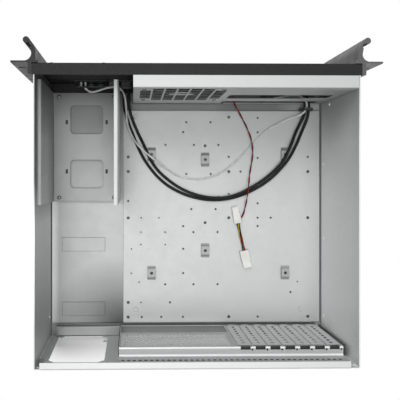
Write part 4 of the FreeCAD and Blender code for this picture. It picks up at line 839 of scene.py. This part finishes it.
def perforation_tree():
    """Staggered six-sided holes cut through a plate that faces the front."""
    tree = ShapeTree("perforated_plate")
    width = tree.add_input("width")
    height = tree.add_input("height")
    sheet = tree.add_input("sheet")
    pitch = tree.add_input("pitch")
    hole = tree.add_input("hole")
    columns = tree.add_input("columns", "NodeSocketInt")
    rows = tree.add_input("rows", "NodeSocketInt")
    material = tree.add_input("material", "NodeSocketMaterial")

    plate = tree.shape("GeometryNodeMeshCube", {"Size": tree.vector(width, sheet, height)})
    rise = tree.maths("MULTIPLY", pitch, math.sqrt(3) / 2)
    span = tree.maths("MULTIPLY", tree.maths("SUBTRACT", columns, 1.0), pitch)
    climb = tree.maths("MULTIPLY", tree.maths("SUBTRACT", rows, 1.0), rise)
    grid = tree.shape("GeometryNodeMeshGrid", {"Size X": span, "Size Y": climb,
                                               "Vertices X": columns, "Vertices Y": rows})
    place = tree.node("GeometryNodeInputPosition").outputs["Position"]
    above_first = tree.maths("ADD", tree.part(place, "Y"), tree.maths("MULTIPLY", climb, 0.5))
    row = tree.maths("ROUND", tree.maths("DIVIDE", above_first, rise))
    odd = tree.maths("MODULO", row, 2.0)
    shift = tree.maths("MULTIPLY", tree.maths("SUBTRACT", odd, 0.5), tree.maths("MULTIPLY", pitch, 0.5))
    staggered = tree.node("GeometryNodeSetPosition", {"Geometry": grid, "Offset": tree.vector(x=shift)})

    deep = tree.maths("MULTIPLY", sheet, 3.0)
    punch = tree.shape("GeometryNodeMeshCylinder", {"Vertices": 6, "Radius": hole, "Depth": deep})
    punches = tree.on_points(staggered.outputs["Geometry"], punch)
    through = tree.moved(punches, Rotation=Euler((math.pi / 2, 0.0, 0.0)))
    tree.finish(tree.carved(plate, tree.real(through)), material)
    return tree


# ---- Screws ----
def points_mesh(name, places):
    """Loose points with the way that each one faces."""
    mesh = bpy.data.meshes.new(name)
    mesh.from_pydata([tuple(spot) for spot, way in places], [], [])
    facing = mesh.attributes.new("facing", "FLOAT_VECTOR", "POINT")
    for index, (spot, way) in enumerate(places):
        facing.data[index].vector = way
    return in_scene(name, mesh)


def dress_screws(tree, name, node, way_out, finish):
    """Screws with a cross recess in place of a CAD node's plain ones, which are all as long."""
    seats = []
    for low, high in islands(node):
        way = way_out(low)
        axis = max(range(3), key=lambda i: abs(way[i]))
        seat = (low + high) / 2
        seat[axis] = high[axis] - HEAD_HEIGHT if way[axis] > 0 else low[axis] + HEAD_HEIGHT
        seats.append((seat, way))
        length = high[axis] - low[axis] - HEAD_HEIGHT
    screws = tree.run(points_mesh("seats", seats), name, head_radius=HEAD_RADIUS, head_height=HEAD_HEIGHT,
                      recess_width=RECESS_WIDTH, shank_radius=SHANK_RADIUS, shank_length=length,
                      material=finish)
    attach(screws, "chassis")
    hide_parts(node)


def sideways(low):
    """Way from the middle of the case to a screw's own side."""
    return (1 if low.x > 0 else -1, 0, 0)


def dress_fixings():
    """Every group of screws, with the way that its heads face."""
    zinc = plated_steel("zinc_plate", 0.2)
    blackened = plated_steel("blackened_steel", 0.06)
    tree = screw_tree()
    dress_screws(tree, "cage_fixings", "cage_screws", lambda low: (0, 0, 1), zinc)
    dress_screws(tree, "fan_fixings", "fan_screws", lambda low: (0, 1, 0), zinc)
    dress_screws(tree, "bay_fixings", "bay_screws", lambda low: (0, -1, 0), blackened)
    dress_screws(tree, "handle_fixings", "handle_screws", sideways, blackened)


# ---- Stepped rear wall ----
def opened_wall(centre, size):
    """Copy of the CAD's wall, with a window where the fine field goes."""
    mesh = NODES["stepped_wall"].data.copy()
    wall = in_scene("stepped_wall_copy", pour(joined_up("stepped_wall"), mesh))
    work = bmesh.new()
    bmesh.ops.create_cube(work, size=1.0)
    bmesh.ops.scale(work, vec=size, verts=work.verts)
    bmesh.ops.translate(work, vec=centre, verts=work.verts)
    cutter = in_scene("field_cutter", pour(work, bpy.data.meshes.new("field_cutter")))
    carve = wall.modifiers.new("field", "BOOLEAN")
    carve.operation = "DIFFERENCE"
    carve.solver = "EXACT"
    carve.object = cutter
    wall = baked(wall, "pierced_rear_wall")
    bpy.data.objects.remove(cutter)
    return wall


def pierced_rear(finish, field_finish):
    """Stepped rear wall with its field of fine perforation."""
    width = FIELD_LEFT - FIELD_RIGHT
    height = FIELD_TOP - FIELD_BOTTOM
    middle_x = (FIELD_LEFT + FIELD_RIGHT) / 2
    middle_z = (FIELD_BOTTOM + FIELD_TOP) / 2
    centre = Vector((middle_x, WALL_LOW.y + FIELD_SHEET / 2, middle_z))
    through = FIELD_SHEET * 4
    wall = opened_wall(centre, (width, through, height))
    seed = in_scene("seed", bpy.data.meshes.new("seed"))
    field = perforation_tree().run(seed, "perforated_field", width=width, height=height, sheet=FIELD_SHEET,
                                   material=field_finish, **FIELD_HOLES)
    for vert in field.data.vertices:
        vert.co += centre
    wall.data.materials.clear()
    wall.data.materials.append(finish)
    wall.data.materials.append(field_finish)
    for face in field.data.polygons:
        face.material_index = 1
    work = bmesh.new()
    work.from_mesh(wall.data)
    work.from_mesh(field.data)
    pour(work, wall.data)
    bpy.data.objects.remove(field)
    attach(wall, "chassis")
    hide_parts("stepped_wall")


# ---- Dressing the case ----
def dress_sheet_metal():
    """Every piece of galvanised sheet."""
    # one zinc finish at a different level on each piece, lighter or darker as painted light and shade
    dress(cover_sheet(), *[node for node in NODES if node.startswith("slot_cover")])
    # the power supply's ledge gets the darkest copy, painted shade
    dress(galvanised_sheet("ledge_sheet", 0.33), "psu_ledge")
    dress(rear_sheet(), "rear_frame")
    dress(bracket_sheet(), "fan_bracket")
    dress(tray_sheet(), "board_tray")
    dress(pan_sheet(), "base_pan")
    dress(bay_floor_sheet(), "bay_floor")
    dress(cage_sheet(), "drive_cage")
    pierced_rear(step_sheet(), galvanised_sheet("field_sheet", 0.74))


def dress_fittings():
    """Front panel, handles, fan, plugs and the small parts behind the panel."""
    dress(powder_coat("black_powder_coat", 0.012), "front_panel", "bay_cover")
    # one anodised finish in two copies: the left darker as painted shade, the right lighter with paler edges
    # as a painted reflection
    dress(drawn_aluminium("dark_anodised", 0.014, rubbed=1.3), "handle_left")
    dress(drawn_aluminium("rubbed_anodised", 0.1, rubbed=2.0), "handle_right")
    dress(plated_steel("socket_shell", 0.07), "usb_socket_1", "usb_socket_2")
    dress(fan_plastic("fan_housing", *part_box("fan_frame")), "fan_frame")
    dress(moulded_plastic("black_plastic", (0.025, 0.025, 0.026, 1.0)), "fan_rotor", "io_bezel",
          "power_button", "reset_button", "plug_a", "plug_b", "grey_plug", "cable_tie")
    dress(moulded_plastic("white_nylon", (0.95, 0.94, 0.91, 1.0), rough=0.42), "fan_plug", "power_plug")
    dress(moulded_plastic("clear_plastic", (0.7, 0.74, 0.74, 1.0), rough=0.2), "light_pipes")
    dress(circuit_board("circuit_board"), "io_board")


# ---- Floor and light ----
def white_for_camera(made, shader, white, share=1.0):
    """One shader to the light, and a share of plain white to the camera, gloss and clear parts."""
    rays = made.node("ShaderNodeLightPath").outputs
    seen = made.maths("MAXIMUM", rays["Is Camera Ray"], rays["Is Transmission Ray"])
    seen = made.maths("MAXIMUM", seen, rays["Is Glossy Ray"])
    amount = made.maths("MULTIPLY", seen, share)
    return made.node("ShaderNodeMixShader", {0: amount, 1: shader, 2: white}).outputs[0]


def past(made, axis, low, high):
    """How far a place lies outside a stretch of an axis, less than 0 within it."""
    off_middle = made.maths("SUBTRACT", made.at(axis), (low + high) / 2)
    return made.maths("SUBTRACT", made.maths("ABSOLUTE", off_middle), (high - low) / 2)


def lay_floor():
    """Pale floor: plain white to the camera well away from the case, shadowed close to it."""
    reach = 6.0
    top = -0.4 * MM
    mesh = bpy.data.meshes.new("floor")
    corners = [(-reach, -reach, top), (reach, -reach, top), (reach, reach, top), (-reach, reach, top)]
    mesh.from_pydata(corners, [], [(0, 1, 2, 3)])
    made = Finish("pale_floor", roughness=0.9)
    made.shader.inputs["Base Color"].default_value = grey(0.9)
    past_sides = past(made, "X", RIGHT + 2.0 * MM, LEFT - 2.0 * MM)
    past_ends = past(made, "Y", PAN_LOW.y - 2.5 * MM, PAN_HIGH.y + 23.0 * MM)
    clear = made.spread(made.maths("MAXIMUM", past_sides, past_ends), 0.0, 1.0, -7.0 * MM, 29.0 * MM)
    glow = made.node("ShaderNodeEmission", {"Strength": 1.0}).outputs[0]
    seen = white_for_camera(made, made.shader.outputs[0], glow, clear)
    made.tree.links.new(seen, made.tree.nodes["Material Output"].inputs["Surface"])
    mesh.materials.append(made.material)
    in_scene("floor", mesh)


def soft_lamp(name, place, size, power):
    """Large square lamp that looks at the middle of the case."""
    middle = Vector((0.0, 0.0, 80.0 * MM))
    lamp = bpy.data.lights.new(name, "AREA")
    lamp.shape = "SQUARE"
    lamp.size = size
    lamp.energy = power
    box = in_scene(name, lamp)
    box.location = place
    box.rotation_euler = (middle - box.location).to_track_quat("-Z", "Y").to_euler()


def light_studio():
    """Low room light, a wide lamp overhead and a key lamp from the drive cage's front corner."""
    world = bpy.data.worlds.new("studio")
    bpy.context.scene.world = world
    world.use_nodes = True
    made = NodeMaker(world.node_tree)
    room = made.tree.nodes["Background"]
    room.inputs["Color"].default_value = grey(1.0)
    room.inputs["Strength"].default_value = 0.06
    white = made.node("ShaderNodeBackground", {"Color": grey(1.0), "Strength": 1.0})
    seen = white_for_camera(made, room.outputs[0], white.outputs[0])
    made.tree.links.new(seen, made.tree.nodes["World Output"].inputs["Surface"])
    soft_lamp("overhead", place=(0.1, 0.35, 2.6), size=1.4, power=24.0)
    soft_lamp("key", place=(1.1, -2.4, 3.8), size=2.2, power=84.0)


place_camera()
lay_leads()
dress_sheet_metal()
dress_fittings()
dress_fixings()
lay_floor()
light_studio()
bpy.context.scene.view_settings.view_transform = "Standard"
